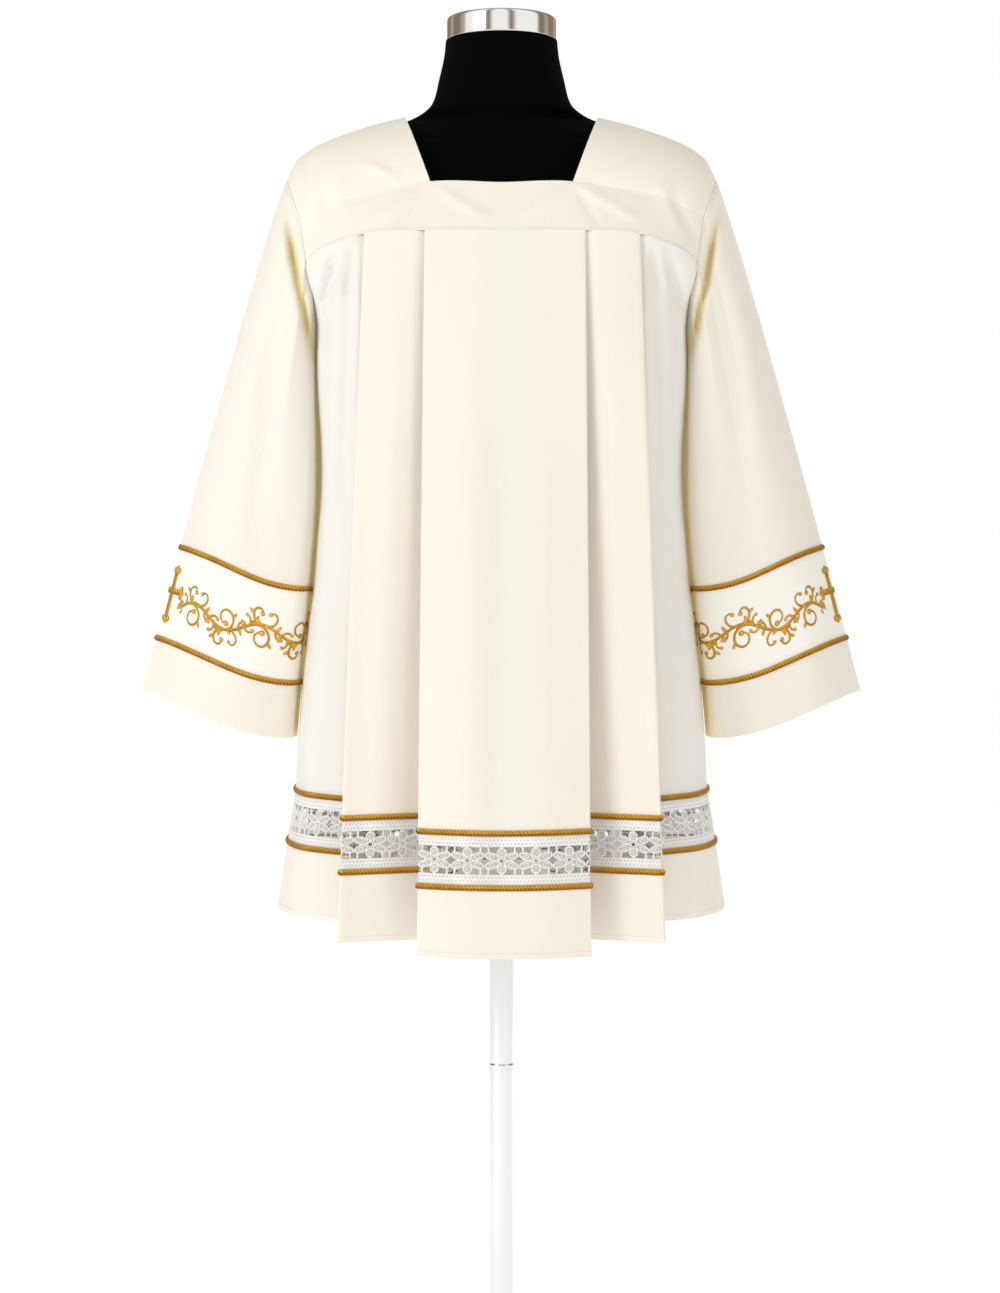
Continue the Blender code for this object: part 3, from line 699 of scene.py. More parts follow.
class Effects:
    """The effects that more than one finish uses, each a node group built once."""

    def __init__(self) -> None:
        """Builds the groups."""
        self.weave = self._weave()
        self.mottle = self._mottle()
        self.threads = self._threads()

    @staticmethod
    def _weave() -> Tree:
        """Plain weave: the sine across times the sine along, and slubs of drawn-out noise."""
        effect = Effect("plain weave", {"Threads": 1800.0, "Slubs": 0.5}, ("Height", "Slub"))
        parts = effect.add("SeparateXYZ", {0: effect.taken["Vector"]}).outputs
        waves = [effect.maths("SINE", effect.maths("MULTIPLY", part, effect.taken["Threads"]))
                 for part in parts[:2]]
        crossing = effect.maths("MULTIPLY", *waves)
        stretched = effect.add("VectorMath", {0: effect.taken["Vector"], 1: (260.0, 45.0, 1.0)},
                               operation="MULTIPLY").outputs[0]
        noise = effect.add("TexNoise", {"Vector": stretched, "Scale": 1.0, "Detail": 3.0})
        noise = noise.outputs[0]
        slub = effect.maths("MULTIPLY", noise, effect.taken["Slubs"])
        return effect.done(Height=effect.maths("ADD", crossing, slub), Slub=noise)

    @staticmethod
    def _mottle() -> Tree:
        """Slow changes over a surface: 65 hundredths of broad noise and 35 of one 7 times finer."""
        effect = Effect("mottle", {"Scale": 6.0}, ("Value",))
        place, scale = effect.taken["Vector"], effect.taken["Scale"]
        broad = effect.add("TexNoise", {"Vector": place, "Scale": scale, "Detail": 2.0}).outputs[0]
        finer = effect.add("TexNoise", {"Vector": place, "Detail": 4.0,
                                        "Scale": effect.maths("MULTIPLY", scale, 7.0)}).outputs[0]
        return effect.done(Value=effect.maths("ADD", effect.maths("MULTIPLY", broad, 0.65),
                                              effect.maths("MULTIPLY", finer, 0.35)))

    @staticmethod
    def _threads() -> Tree:
        """Threads side by side along a band and slanted round it: the sine of both together."""
        effect = Effect("laid threads", {"Threads": 12000.0, "Slant": 9.0}, ("Height",))
        parts = effect.add("SeparateXYZ", {0: effect.taken["Vector"]}).outputs
        run = effect.maths("MULTIPLY", parts[0], effect.taken["Threads"])
        turn = effect.maths("MULTIPLY", parts[1], effect.taken["Slant"])
        wave = effect.maths("SINE", effect.maths("ADD", run, turn))
        return effect.done(Height=effect.maths("MULTIPLY", effect.maths("ADD", wave, 1.0), 0.5))


@dataclass(frozen=True)
class Shine:
    """What a shader's own sockets hold, in the order of its sockets below."""

    metallic: float = 0.0
    specular: float = 0.5
    sheen: float = 0.0
    sheen_roughness: float = 0.5
    coat: float = 0.0
    glow: float = 0.0


SHINE_SOCKETS = ("Metallic", "Specular IOR Level", "Sheen Weight", "Sheen Roughness", "Coat Weight",
                 "Emission Strength")


class Finish(Wiring):
    """A material in the making, which feeds one shader."""

    def __init__(self, name: str, shine: Shine) -> None:
        """Starts the material.

        Args:
            name: the finish's name.
            shine: the values that are the same all over it.
        """
        self.material = bpy.data.materials.new(name)
        self.material.use_nodes = True
        super().__init__(self.material.node_tree)
        self.shader = self.tree.nodes["Principled BSDF"]
        for socket, value in zip(SHINE_SOCKETS, astuple(shine)):
            self.shader.inputs[socket].default_value = value

    def done(self, base: Any, roughness: Any, normal: Any, glow: Any = None) -> Material:
        """Joins what changes over the surface to the shader, and hands over the material.

        Args:
            base: base colour.
            roughness: roughness.
            normal: normal.
            glow: emission colour, if there is any.

        Returns:
            The material.
        """
        fed = {"Base Color": base, "Roughness": roughness, "Normal": normal, "Emission Color": glow}
        for socket, value in fed.items():
            if value is not None:
                self.tree.links.new(value, self.shader.inputs[socket])
        return self.material

    def effect(self, tree: Tree, vector: Socket, **values: float) -> Any:
        """Places an effect with its own values, and gives its outputs."""
        return self.add("Group", {"Vector": vector, **values}, node_tree=tree).outputs

    def flat_place(self) -> Socket:
        """The place on the flat cloth, in metres."""
        return self.add("UVMap", uv_map="cloth").outputs["UV"]

    def place(self) -> Socket:
        """The place in space, in metres."""
        return self.add("TexCoord").outputs["Object"]

    def mark(self, name: str) -> Socket:
        """The value of an attribute."""
        return self.add("Attribute", attribute_name=name).outputs["Fac"]

    def bump(self, height: Any, strength: float, distance: float, **before: Any) -> Socket:
        """A normal bent by a height, on top of another Normal if there is one."""
        return self.add("Bump", {"Height": height, "Strength": strength, "Distance": distance,
                                 **before}).outputs["Normal"]


Colour = tuple[float, float, float, float]


def colour(red: float, green: float, blue: float) -> Colour:
    """A colour as a socket takes it."""
    return (red, green, blue, 1.0)


WHITE = colour(1.0, 1.0, 1.0)


@dataclass(frozen=True)
class WovenCloth:
    """Cream worsted: warmer and yellower where it is doubled, whiter where light comes through.

    Where it hangs close against other cloth it glows a little in a warm colour: painted light,
    given as emission, that stands in for light coming through both.
    """

    doubled: Colour = colour(0.872, 0.808, 0.700)
    single: Colour = colour(0.802, 0.774, 0.722)
    banded: Colour = colour(0.905, 0.872, 0.800)
    # Painted shade: a warm golden brown for the deep fold by the armhole.
    folded: Colour = colour(0.68, 0.56, 0.25)
    slubs: Colour = colour(1.0, 0.97, 0.88)
    # Colour of the painted glow, given as emission where the cloth hangs close to other cloth.
    through: Colour = colour(0.100, 0.079, 0.028)
    # Darkest value where the mottle is low, which is also where its bumps are low: painted shade in
    # those hollows, with a random change of tone besides.
    creased: float = 0.965

    def make(self, effects: Effects) -> Material:
        """Builds the material."""
        shine = Shine(specular=0.30, sheen=0.12, sheen_roughness=0.45, glow=1.0)
        finish = Finish("cream_worsted", shine)
        weave = finish.effect(effects.weave, finish.flat_place(), Threads=5200.0, Slubs=0.8)
        mottle = finish.effect(effects.mottle, finish.place(), Scale=5.0)["Value"]
        base = self.single
        tints = {"doubled": self.doubled, "banded": self.banded, "folded": self.folded}
        for mark, tint in tints.items():
            base = finish.mixed(finish.mark(mark), base, tint)
        base = finish.mixed(finish.ranged(weave["Slub"], 0.0, 0.10), base, self.slubs)
        # Painted shade in the low places of the mottle's bumps, and a random change of tone.
        shaded = finish.add("HueSaturation", {
            "Color": base, "Value": finish.ranged(mottle, self.creased, 1.03)}).outputs[0]
        # Painted light: a warm glow, given as emission, where the close mark is set.
        glow = finish.mixed(finish.mark("close"), colour(0, 0, 0), self.through)
        roughness = finish.ranged(weave["Slub"], 0.72, 0.88)
        fine = finish.bump(weave["Height"], 0.25, 0.0002)
        return finish.done(shaded, roughness, finish.bump(mottle, 0.18, 0.0040, Normal=fine), glow)


@dataclass(frozen=True)
class LaceThread:
    """White cotton lace, painted darker where its shade mark is set: painted shade in dark sheets
    and spots.
    """

    raised: Colour = colour(0.94, 0.92, 0.88)
    # Colour of painted shade.
    hollow: Colour = colour(0.50, 0.475, 0.44)

    def make(self, effects: Effects) -> Material:
        """Builds the material."""
        finish = Finish("cotton_lace", Shine(specular=0.25, sheen=0.10))
        threads = finish.effect(effects.weave, finish.flat_place(), Threads=7500.0, Slubs=0.6)
        return finish.done(finish.mixed(finish.mark("shade"), self.raised, self.hollow),
                           finish.ranged(threads["Slub"], 0.78, 0.92),
                           finish.bump(threads["Height"], 0.5, 0.00025))


@dataclass(frozen=True)
class GoldThread:
    """Gold thread with a soft metal gleam, painted from highlight to shade: darker between threads
    and by its shade mark.
    """

    name: str
    threads: float
    slant: float
    # The painted highlight and the painted shade that the colour runs between.
    bright: Colour = colour(1.0, 0.60, 0.085)
    deep: Colour = colour(0.26, 0.092, 0.002)

    def make(self, effects: Effects) -> Material:
        """Builds the material."""
        finish = Finish(self.name, Shine(metallic=0.70, specular=0.20, coat=0.02))
        threads = finish.effect(effects.threads, finish.flat_place(), Threads=self.threads,
                                Slant=self.slant)["Height"]
        mottle = finish.effect(effects.mottle, finish.place(), Scale=60.0)["Value"]
        # Painted shade from the mark and between the threads, and a random change of tone from the
        # mottle.
        dark = finish.maths("ADD", finish.mark("shade"), finish.ranged(threads, 0.30, 0.0))
        dark = finish.maths("ADD", dark, finish.ranged(mottle, -0.2, 0.3))
        dark = finish.maths("MINIMUM", dark, 1.0)
        return finish.done(finish.mixed(dark, self.bright, self.deep),
                           finish.ranged(threads, 0.52, 0.34), finish.bump(threads, 0.6, 0.00025))


@dataclass(frozen=True)
class Jersey:
    """Black stretch jersey over the form."""

    lit: Colour = colour(0.0016, 0.0016, 0.0017)
    deep: Colour = colour(0.0007, 0.0007, 0.0008)

    def make(self, effects: Effects) -> Material:
        """Builds the material."""
        finish = Finish("form_jersey", Shine(specular=0.03, sheen=0.003))
        knit = finish.effect(effects.weave, finish.flat_place(), Threads=4200.0, Slubs=0.4)
        mottle = finish.effect(effects.mottle, finish.place(), Scale=9.0)["Value"]
        return finish.done(finish.mixed(mottle, self.deep, self.lit),
                           finish.ranged(knit["Slub"], 0.80, 0.95),
                           finish.bump(knit["Height"], 0.4, 0.0003))


@dataclass(frozen=True)
class PolishedMetal:
    """Polished or painted metal, with faint marks of handling."""

    name: str
    tint: Colour
    worn: Colour
    metallic: float
    smooth: float
    rough: float

    def make(self, effects: Effects) -> Material:
        """Builds the material."""
        finish = Finish(self.name, Shine(metallic=self.metallic, coat=0.1))
        mottle = finish.effect(effects.mottle, finish.place(), Scale=14.0)["Value"]
        return finish.done(finish.mixed(mottle, self.tint, self.worn),
                           finish.ranged(mottle, self.smooth, self.rough),
                           finish.bump(mottle, 0.04, 0.0010))


class Finishes:
    """Every finish of the object, built once."""

    def __init__(self) -> None:
        """Builds the materials."""
        effects = Effects()
        chrome = PolishedMetal(
            "polished_chrome", tint=colour(0.80, 0.79, 0.77), worn=colour(0.74, 0.73, 0.71),
            metallic=1.0, smooth=0.06, rough=0.16)
        enamel = PolishedMetal(
            "black_enamel", tint=colour(0.012, 0.012, 0.013), worn=colour(0.030, 0.030, 0.032),
            metallic=0.2, smooth=0.30, rough=0.50)
        cream = GoldThread("cream_thread", threads=9000.0, slant=12.0,
                           bright=colour(0.80, 0.72, 0.56), deep=colour(0.50, 0.43, 0.30))
        self.cream = WovenCloth().make(effects)
        self.lace = LaceThread().make(effects)
        self.cord = GoldThread("gold_rope", threads=9000.0, slant=25.0).make(effects)
        self.satin = GoldThread("gold_satin_stitch", threads=11000.0, slant=6.3).make(effects)
        self.stitch = cream.make(effects)
        self.jersey = Jersey().make(effects)
        self.chrome = chrome.make(effects)
        self.metal = enamel.make(effects)


# ---- How the surplice is cut ----
@dataclass(frozen=True)
class Pleats:
    """Folds of half a panel: breadths from the middle at the yoke and the hem, and their tucks."""

    box: float
    box_at_hem: float
    knife: float
    knife_at_hem: float
    lined_from: float = 0.018
    box_tuck: float = 0.034
    knife_tuck: float = 0.033
    tuck_at_hem: float = 0.040


@dataclass(frozen=True)
class FaceCut:
    """One face: which way it looks, how far its yoke stands out, its cut, pleats and creases."""

    direction: float
    seam_depth: float
    top_depth: float
    drop: float
    pleats: dict[Side, Pleats]
    creases: tuple[Crease, ...]

    def drop_at(self, breadth: Array) -> Array:
        """How much lower the yoke is cut: most in the middle, falling with the breadth's square."""
        return self.drop * (1 - (breadth / ARMHOLE_AT_YOKE_TOP) ** 2)

    def creased(self, points: Array, share: Array | float = 1.0) -> Array:
        """Points moved out or in by the creases at their breadth and height, times a share."""
        relief = relief_of(self.creases, points[..., 0], points[..., 2]) * share
        moved = points.copy()
        moved[..., 1] += self.direction * relief
        return moved

    def facing_out(self, points: Array) -> Array:
        """A grid whose columns run from the wearer's right to the left, turned to face outwards."""
        return points[:, ::-1] if self.direction > 0 else points


CUTS = {
    Face.BACK: FaceCut(1.0, 0.118, 0.100, 0.0, {
        Side.LEFT: Pleats(0.0774, 0.0832, 0.1391, 0.1631, 0.002),
        Side.RIGHT: Pleats(0.0845, 0.0881, 0.1401, 0.1626, 0.026),
    }, creases(
        (740, 13660, 1350, 13250, 60, 27), (760, 13640, 1050, 13150, 55, -24),
        (800, 13690, 1600, 13480, 55, -24), (700, 13640, 150, 13280, 60, 24),
        (-740, 13660, -1400, 13280, 60, 29), (-760, 13640, -1000, 13160, 50, -24),
        (-700, 13640, -200, 13300, 60, 22), (-800, 13700, -1650, 13520, 55, -20),
        (1690, 13560, 1980, 13080, 70, -51), (1560, 13720, 1860, 13150, 80, 37),
        (1990, 13980, 2010, 13500, 60, -37), (-1720, 13580, -1990, 13100, 70, -48),
        (-1600, 13700, -1880, 13180, 80, 34), (1915, 13850, 1900, 13150, 55, 26),
        (1010, 13680, 1435, 13920, 55, 24), (-1010, 13680, -1400, 13940, 55, 20),
        (1660, 12960, 1860, 12400, 60, -90), (1760, 12900, 1900, 12500, 40, 30),
        (1500, 13000, 1590, 12500, 55, -70), (-1680, 12960, -1850, 12400, 60, -85),
        (-1520, 13000, -1600, 12550, 55, -65), (1820, 12750, 1880, 10300, 90, -75),
        (1540, 12900, 1620, 10200, 80, -50), (-1800, 12800, -1880, 10100, 90, -70),
        (-1530, 12900, -1600, 10500, 80, -45), (300, 13100, 380, 6200, 300, 40),
        (-350, 13100, -420, 6000, 260, 36), (0, 12000, 50, 5600, 220, -40),
        (1080, 12800, 1220, 6000, 180, 40), (-1120, 12800, -1250, 6200, 180, 36),
        (1850, 9800, 2000, 6000, 140, 45), (-1860, 9600, -1980, 6000, 140, 45))),
    Face.FRONT: FaceCut(-1.0, 0.122, 0.104, 0.026, {
        Side.LEFT: Pleats(0.0800, 0.0868, 0.1396, 0.1640),
        Side.RIGHT: Pleats(0.0782, 0.0842, 0.1388, 0.1618),
    }, creases(
        (740, 13400, 1380, 13150, 60, 27), (760, 13380, 1040, 12920, 55, -24),
        (700, 13380, 180, 13020, 60, 24), (-740, 13400, -1360, 13180, 60, 27),
        (-760, 13380, -1010, 12930, 50, -24), (-700, 13380, -160, 13040, 60, 22),
        (1700, 13560, 1990, 13080, 70, -48), (-1700, 13560, -1980, 13080, 70, -48),
        (1810, 12750, 1880, 10200, 90, -70), (-1810, 12800, -1870, 10300, 90, -70),
        (1530, 12900, 1610, 10300, 80, -45), (-1540, 12900, -1620, 10100, 80, -45),
        (330, 12900, 420, 6100, 280, 40), (-300, 12900, -380, 6000, 280, 38),
        (1100, 12600, 1240, 6100, 180, 38), (-1080, 12600, -1230, 6000, 180, 40))),
}


def oval_depth(breadth: Array, half_breadth: float, depth: float) -> Array:
    """Depth of the yoke's oval: one less the breadth's share cubed, to the power of a third."""
    inside = 1 - (np.abs(breadth) / half_breadth) ** YOKE_ROUNDNESS
    return depth * inside ** (1 / YOKE_ROUNDNESS)


@dataclass(frozen=True)
class HemPlan:
    """How far the layers stand out from the middle plane at the hem, and the heights of its edge.

    Each pleat's three depths and heights are those of its fold, of the inner end of its tuck and of
    the start of the next layer.
    """

    middle_depth: float = 0.210
    middle_height: float = 0.5880
    box_depths: Triple = (0.194, 0.165, 0.150)
    box_heights: Triple = (0.5893, 0.6000, 0.6030)
    knife_depths: Triple = (0.178, 0.152, 0.135)
    knife_heights: Triple = (0.6010, 0.6120, 0.6165)
    side_height: float = 0.6257
    side_breadth: float = 0.2326
    knife_lean: float = 1.5
    side_roundness: float = 2.3
    rise: float = 0.012
    spread: float = 0.020
    fold: float = 0.0015
    turn: float = 0.006
    corner_share: float = 0.50


@dataclass(frozen=True)
class Marks:
    """Where a panel is doubled and where it gets a painted glow from hanging close to a sleeve, as
    shares of each.
    """

    lined_middle: float = 0.2
    lining_run: float = 0.036
    lining_reach: float = 0.006
    past_fold: float = 0.004
    # Painted glow by the sleeve: its strength, the share of the panel where it starts, and that
    # over which it grows.
    close: float = 0.8
    close_from: float = 0.6
    close_run: float = 0.3


class HalfPanel:
    """Upright threads of half a panel, from the middle round the pleats to the side seam.

    Each thread has a breadth, a depth and a height at the yoke and at the hem, and lies straight
    between them, apart from the side seam's own hollow line.
    """

    def __init__(self, cut: FaceCut, side: Side) -> None:
        """Works out the threads of one side of a face."""
        self.cut = cut
        self.pleats = pleats = cut.pleats[side]
        self.hem_plan = plan = HemPlan()
        self.marks = marks = Marks()
        # Breadth at the hem from the fold to the turn of the cloth under it.
        self.tucked = pleats.tuck_at_hem - plan.turn
        runs = [
            self._box(),
            *self._under(pleats.box, pleats.box_tuck, pleats.box_at_hem, plan.box_depths,
                         plan.box_heights),
            self._knife(),
            *self._under(pleats.knife, pleats.knife_tuck, pleats.knife_at_hem, plan.knife_depths,
                         plan.knife_heights),
            self._side(),
            self._armhole(),
        ]
        table = np.concatenate(runs, axis=1)
        self.yoke_breadth, self.yoke_depth, self.breadth, self.depth, self.height = table[:5]
        self.side_share, self.doubled = table[5:]
        # Painted glow: it grows towards the side seam, where the panel hangs close to the sleeve.
        self.close = marks.close * soft_step((self.side_share - marks.close_from) / marks.close_run)
        self.armhole_count = runs[-1].shape[1]
        self.crease_share = 1 - np.clip(2 * self.side_share - 1, 0, 1) ** 2
        self.at_armhole = soft_step((self.side_share - 0.5) / 0.1)
        self.yoke_height = self._yoke_height()

    def _yoke(self, breadth: Array) -> Array:
        """Depth of the yoke's seam."""
        return oval_depth(breadth, YOKE_OVAL_SEAM, self.cut.seam_depth)

    @staticmethod
    def _run(*rows: Any) -> Array:
        """Seven rows of one run of threads."""
        return np.stack(np.broadcast_arrays(*[np.asarray(row, float) for row in rows]))

    def _box(self) -> Array:
        """Half the box pleat: at the hem it falls back from the middle with the share's square."""
        plan, pleats, marks = self.hem_plan, self.pleats, self.marks
        s = steps(24, with_start=True)
        breadth = (pleats.box - LAYER_STEP / 2) * s
        lined = soft_step((breadth - pleats.lined_from + marks.lining_reach) / marks.lining_run)
        return self._run(breadth, self._yoke(breadth), (pleats.box_at_hem - plan.fold) * s,
                         between(plan.middle_depth, plan.box_depths[0], s ** 2),
                         between(plan.middle_height, plan.box_heights[0], s ** 2), 0,
                         between(marks.lined_middle, 1, lined))

    def _under(self, edge: float, tuck: float, edge_at_hem: float, depths: Sequence[float],
               heights: Sequence[float]) -> list[Array]:
        """What lies under a pleat: its fold, its tuck and the turn to the next layer.

        The fold is a half circle from outside to inside, open towards the middle. The tuck goes
        back under it, straight at the hem. The turn is a half circle closed towards the middle.

        Args:
            edge: breadth of the fold at the yoke.
            tuck: how far the cloth goes back under it there.
            edge_at_hem: breadth of the fold at the hem.
            depths: depths at the hem of the fold, the tuck's inner end and the next layer's start.
            heights: heights there.

        Returns:
            The three runs of threads.
        """
        fold, turn = self.hem_plan.fold, self.hem_plan.turn
        r = LAYER_STEP / 2
        s = steps(8)
        out, back = np.pi / 2 - np.pi * s, np.pi / 2 + np.pi * s
        breadth = edge - r + (LAYER_STEP - tuck) * s
        inner = edge - tuck
        start = depths[0] - 2 * fold
        half = (depths[1] - depths[2]) / 2
        return [
            self._run(edge - r + r * np.cos(out), self._yoke(edge) - r + r * np.sin(out),
                      edge_at_hem - fold + fold * np.cos(out),
                      depths[0] - fold + fold * np.sin(out), heights[0], 0, 1),
            self._run(breadth, self._yoke(breadth) - LAYER_STEP,
                      edge_at_hem - fold + (fold - self.tucked) * s,
                      between(start, depths[1], s), between(heights[0], heights[1], s), 0, 1),
            self._run(inner + r + r * np.cos(back),
                      self._yoke(inner + r) - 3 * r + r * np.sin(back),
                      edge_at_hem - self.tucked + turn * np.cos(back),
                      depths[1] - half + half * np.sin(back),
                      between(heights[1], heights[2], s), 0, 1),
        ]

    def _layer(self, over: float, at: Array, nodes: Sequence[float]) -> tuple[Array, Array]:
        """Breadth and depth at the yoke of a layer that starts under a fold and rises past it.

        Args:
            over: breadth of the fold.
            at: place of each thread among the nodes.
            nodes: breadths that the threads pass in turn.

        Returns:
            Breadth, and depth: two layers in under the fold, and none past the rise.
        """
        breadth = along(tuple(enumerate(nodes)), at)
        past = soft_step((breadth - over) / self.hem_plan.rise)
        return breadth, self._yoke(breadth) - 2 * LAYER_STEP * (1 - past)

    def _knife(self) -> Array:
        """The panel from under the box pleat to the knife pleat's fold."""
        plan, pleats = self.hem_plan, self.pleats
        at = np.concatenate([steps(8), 1 + steps(6), 2 + steps(16)])
        breadth, depth = self._layer(pleats.box, at, (
            pleats.box - pleats.box_tuck + LAYER_STEP / 2, pleats.box, pleats.box + plan.rise,
            pleats.knife - LAYER_STEP / 2))
        start = pleats.box_at_hem - self.tucked
        end = pleats.knife_at_hem - plan.fold
        edge = pleats.box_at_hem
        hem = along(tuple(enumerate((start, edge, edge + plan.spread, end))), at)
        s = (hem - start) / (end - start)
        return self._run(breadth, depth, hem,
                         between(plan.box_depths[2], plan.knife_depths[0], s ** plan.knife_lean),
                         between(plan.box_heights[2], plan.knife_heights[0], s), 0, 1)

    def _round(self, angle: Array) -> tuple[Array, Array, Array]:
        """Breadth, depth and height of the side at the hem.

        Breadth and depth are powers of the angle's sine and cosine, and the height rises with it.
        """
        plan = self.hem_plan
        start = self.pleats.knife_at_hem - self.tucked
        power = 2 / plan.side_roundness
        return (between(start, plan.side_breadth, np.sin(angle) ** power),
                plan.knife_depths[2] * np.abs(np.cos(angle)) ** power + SIDE_SEAM_CLEARANCE,
                np.interp(angle, (0, np.pi / 2), (plan.knife_heights[2], plan.side_height)))

    def _side_angles(self) -> Pair:
        """Angles of the side's curve at the hem under the knife's fold and at the yoke's corner."""
        plan = self.hem_plan
        start = self.pleats.knife_at_hem - self.tucked
        share = self.tucked / (plan.side_breadth - start)
        first = math.asin(share ** (plan.side_roundness / 2))
        return first, between(first, math.pi / 2, plan.corner_share)

    def _side(self) -> Array:
        """The side panel from under the knife pleat to the thread at the yoke's corner."""
        pleats = self.pleats
        at = np.concatenate([steps(8), 1 + steps(6), 2 + steps(8), 3 + steps(8)])
        past = pleats.knife + self.hem_plan.rise
        breadth, depth = self._layer(pleats.knife, at, (
            pleats.knife - pleats.knife_tuck + LAYER_STEP / 2, pleats.knife, past,
            (past + ARMHOLE_AT_SEAM) / 2, ARMHOLE_AT_SEAM))
        first, corner = self._side_angles()
        third = (corner - first) / 3
        angle = along(tuple(enumerate((0.0, first, first + third, first + 2 * third, corner))), at)
        reach = self.marks.past_fold
        doubled = 1 - soft_step((breadth - pleats.knife + reach) / (2 * reach))
        return self._run(breadth, depth, *self._round(angle), at / 8, doubled)

    def _armhole(self) -> Array:
        """The side panel below the armhole: at its edge the breadth rises with the share's sine."""
        s = steps(16)
        top = SIDE_SEAM[-1][1]
        _, corner = self._side_angles()
        return self._run(between(ARMHOLE_AT_SEAM, top, np.sin(s * np.pi / 2)),
                         self._yoke(ARMHOLE_AT_SEAM) * (1 - s) + SIDE_SEAM_CLEARANCE,
                         *self._round(between(corner, np.pi / 2, s)), 0.5 + s / 2, 0)

    def _yoke_height(self) -> Array:
        """Heights of the threads' upper ends: the yoke seam, then the armhole's curve."""
        height = along(YOKE_LOWER_SEAM, self.yoke_breadth) - self.cut.drop_at(self.yoke_breadth)
        corner = height[-self.armhole_count - 1]
        line = along(ARMHOLE_LINE, steps(self.armhole_count))
        top, foot = ARMHOLE_LINE[0][1], ARMHOLE_LINE[-1][1]
        height[-self.armhole_count:] = foot + (line - foot) * (corner - foot) / (top - foot)
        return height

    def points(self, heights: Array) -> Array:
        """Points on the threads: straight between yoke and hem, drawn in to the side seam's line.

        Args:
            heights: rows by threads.

        Returns:
            Points on the wearer's left, with depth counted outwards.
        """
        drop = (YOKE_SEAM_HEIGHT - heights) / (YOKE_SEAM_HEIGHT - HEM_HEIGHT)
        breadth = between(self.yoke_breadth, self.breadth, drop)
        drawn = along(SIDE_SEAM, heights) - breadth[:, -1:]
        below = soft_step((self.yoke_height - heights) / SEAM_HOLD)
        loose = between(below, 1, self.at_armhole)
        breadth = breadth + drawn * loose * soft_step(self.side_share / SIDE_DRAW)
        return np.stack([breadth, between(self.yoke_depth, self.depth, drop), heights], axis=-1)


class Panel:
    """One face's pleated cloth, from the yoke seam and the armholes down to the hem."""

    def __init__(self, face: Face) -> None:
        """Works out both halves of the face."""
        self.cut = CUTS[face]
        self.halves = {side: HalfPanel(self.cut, side) for side in Side}

    def _joined(self, right: Array, left: Array) -> Array:
        """The right half turned over and set before the left one."""
        return self.cut.facing_out(np.concatenate([right[:, :0:-1], left], axis=1))

    def _half(self, side: Side, heights: Array, threads: slice = slice(None)) -> Array:
        """Points of some of a half's threads, creased, in their place on the body.

        Args:
            side: which half.
            heights: rows by all the half's threads.
            threads: those wanted.

        Returns:
            Rows by threads of points.
        """
        half = self.halves[side]
        points = half.points(heights)[:, threads] * (1, self.cut.direction, 1)
        return self.cut.creased(side.placed(points), half.crease_share[threads])

    def grid(self, upper: float | None, lower: float, rows: int) -> Array:
        """Points of a band of the panel, with even rows.

        Args:
            upper: height of its upper edge above the hem, or None for the yoke seam.
            lower: height of its lower edge above the hem.
            rows: number of rows.

        Returns:
            Rows by columns of points, facing outwards.
        """
        made = []
        for side in (Side.RIGHT, Side.LEFT):
            half = self.halves[side]
            top = half.yoke_height - SEAM_GAP / 2 if upper is None else half.height + upper
            share = np.linspace(0.0, 1.0, rows)[:, None]
            made.append(self._half(side, between(top, half.height + lower, share)))
        return self._joined(*made)

    def marks(self, rows: int) -> dict[str, Array]:
        """Where the cloth is doubled and where it gets a painted glow close to the sleeves, for a
        grid of so many rows.
        """
        right, left = self.halves[Side.RIGHT], self.halves[Side.LEFT]
        halves = {"doubled": (right.doubled, left.doubled), "close": (right.close, left.close)}
        return {mark: self._joined(*(np.tile(values, (rows, 1)) for values in pair))
                for mark, pair in halves.items()}

    def armhole_edge(self, side: Side, share: Array) -> Array:
        """Points on the armhole from the yoke's corner to the side seam, as on the left."""
        half = self.halves[side]
        edge = slice(-half.armhole_count - 1, None)
        points = side.placed(self._half(side, (half.yoke_height - SEAM_GAP / 2)[None], edge)[0])
        place = np.linspace(0.0, 1.0, len(points))
        return np.stack([np.interp(share, place, points[:, i]) for i in range(3)], axis=-1)


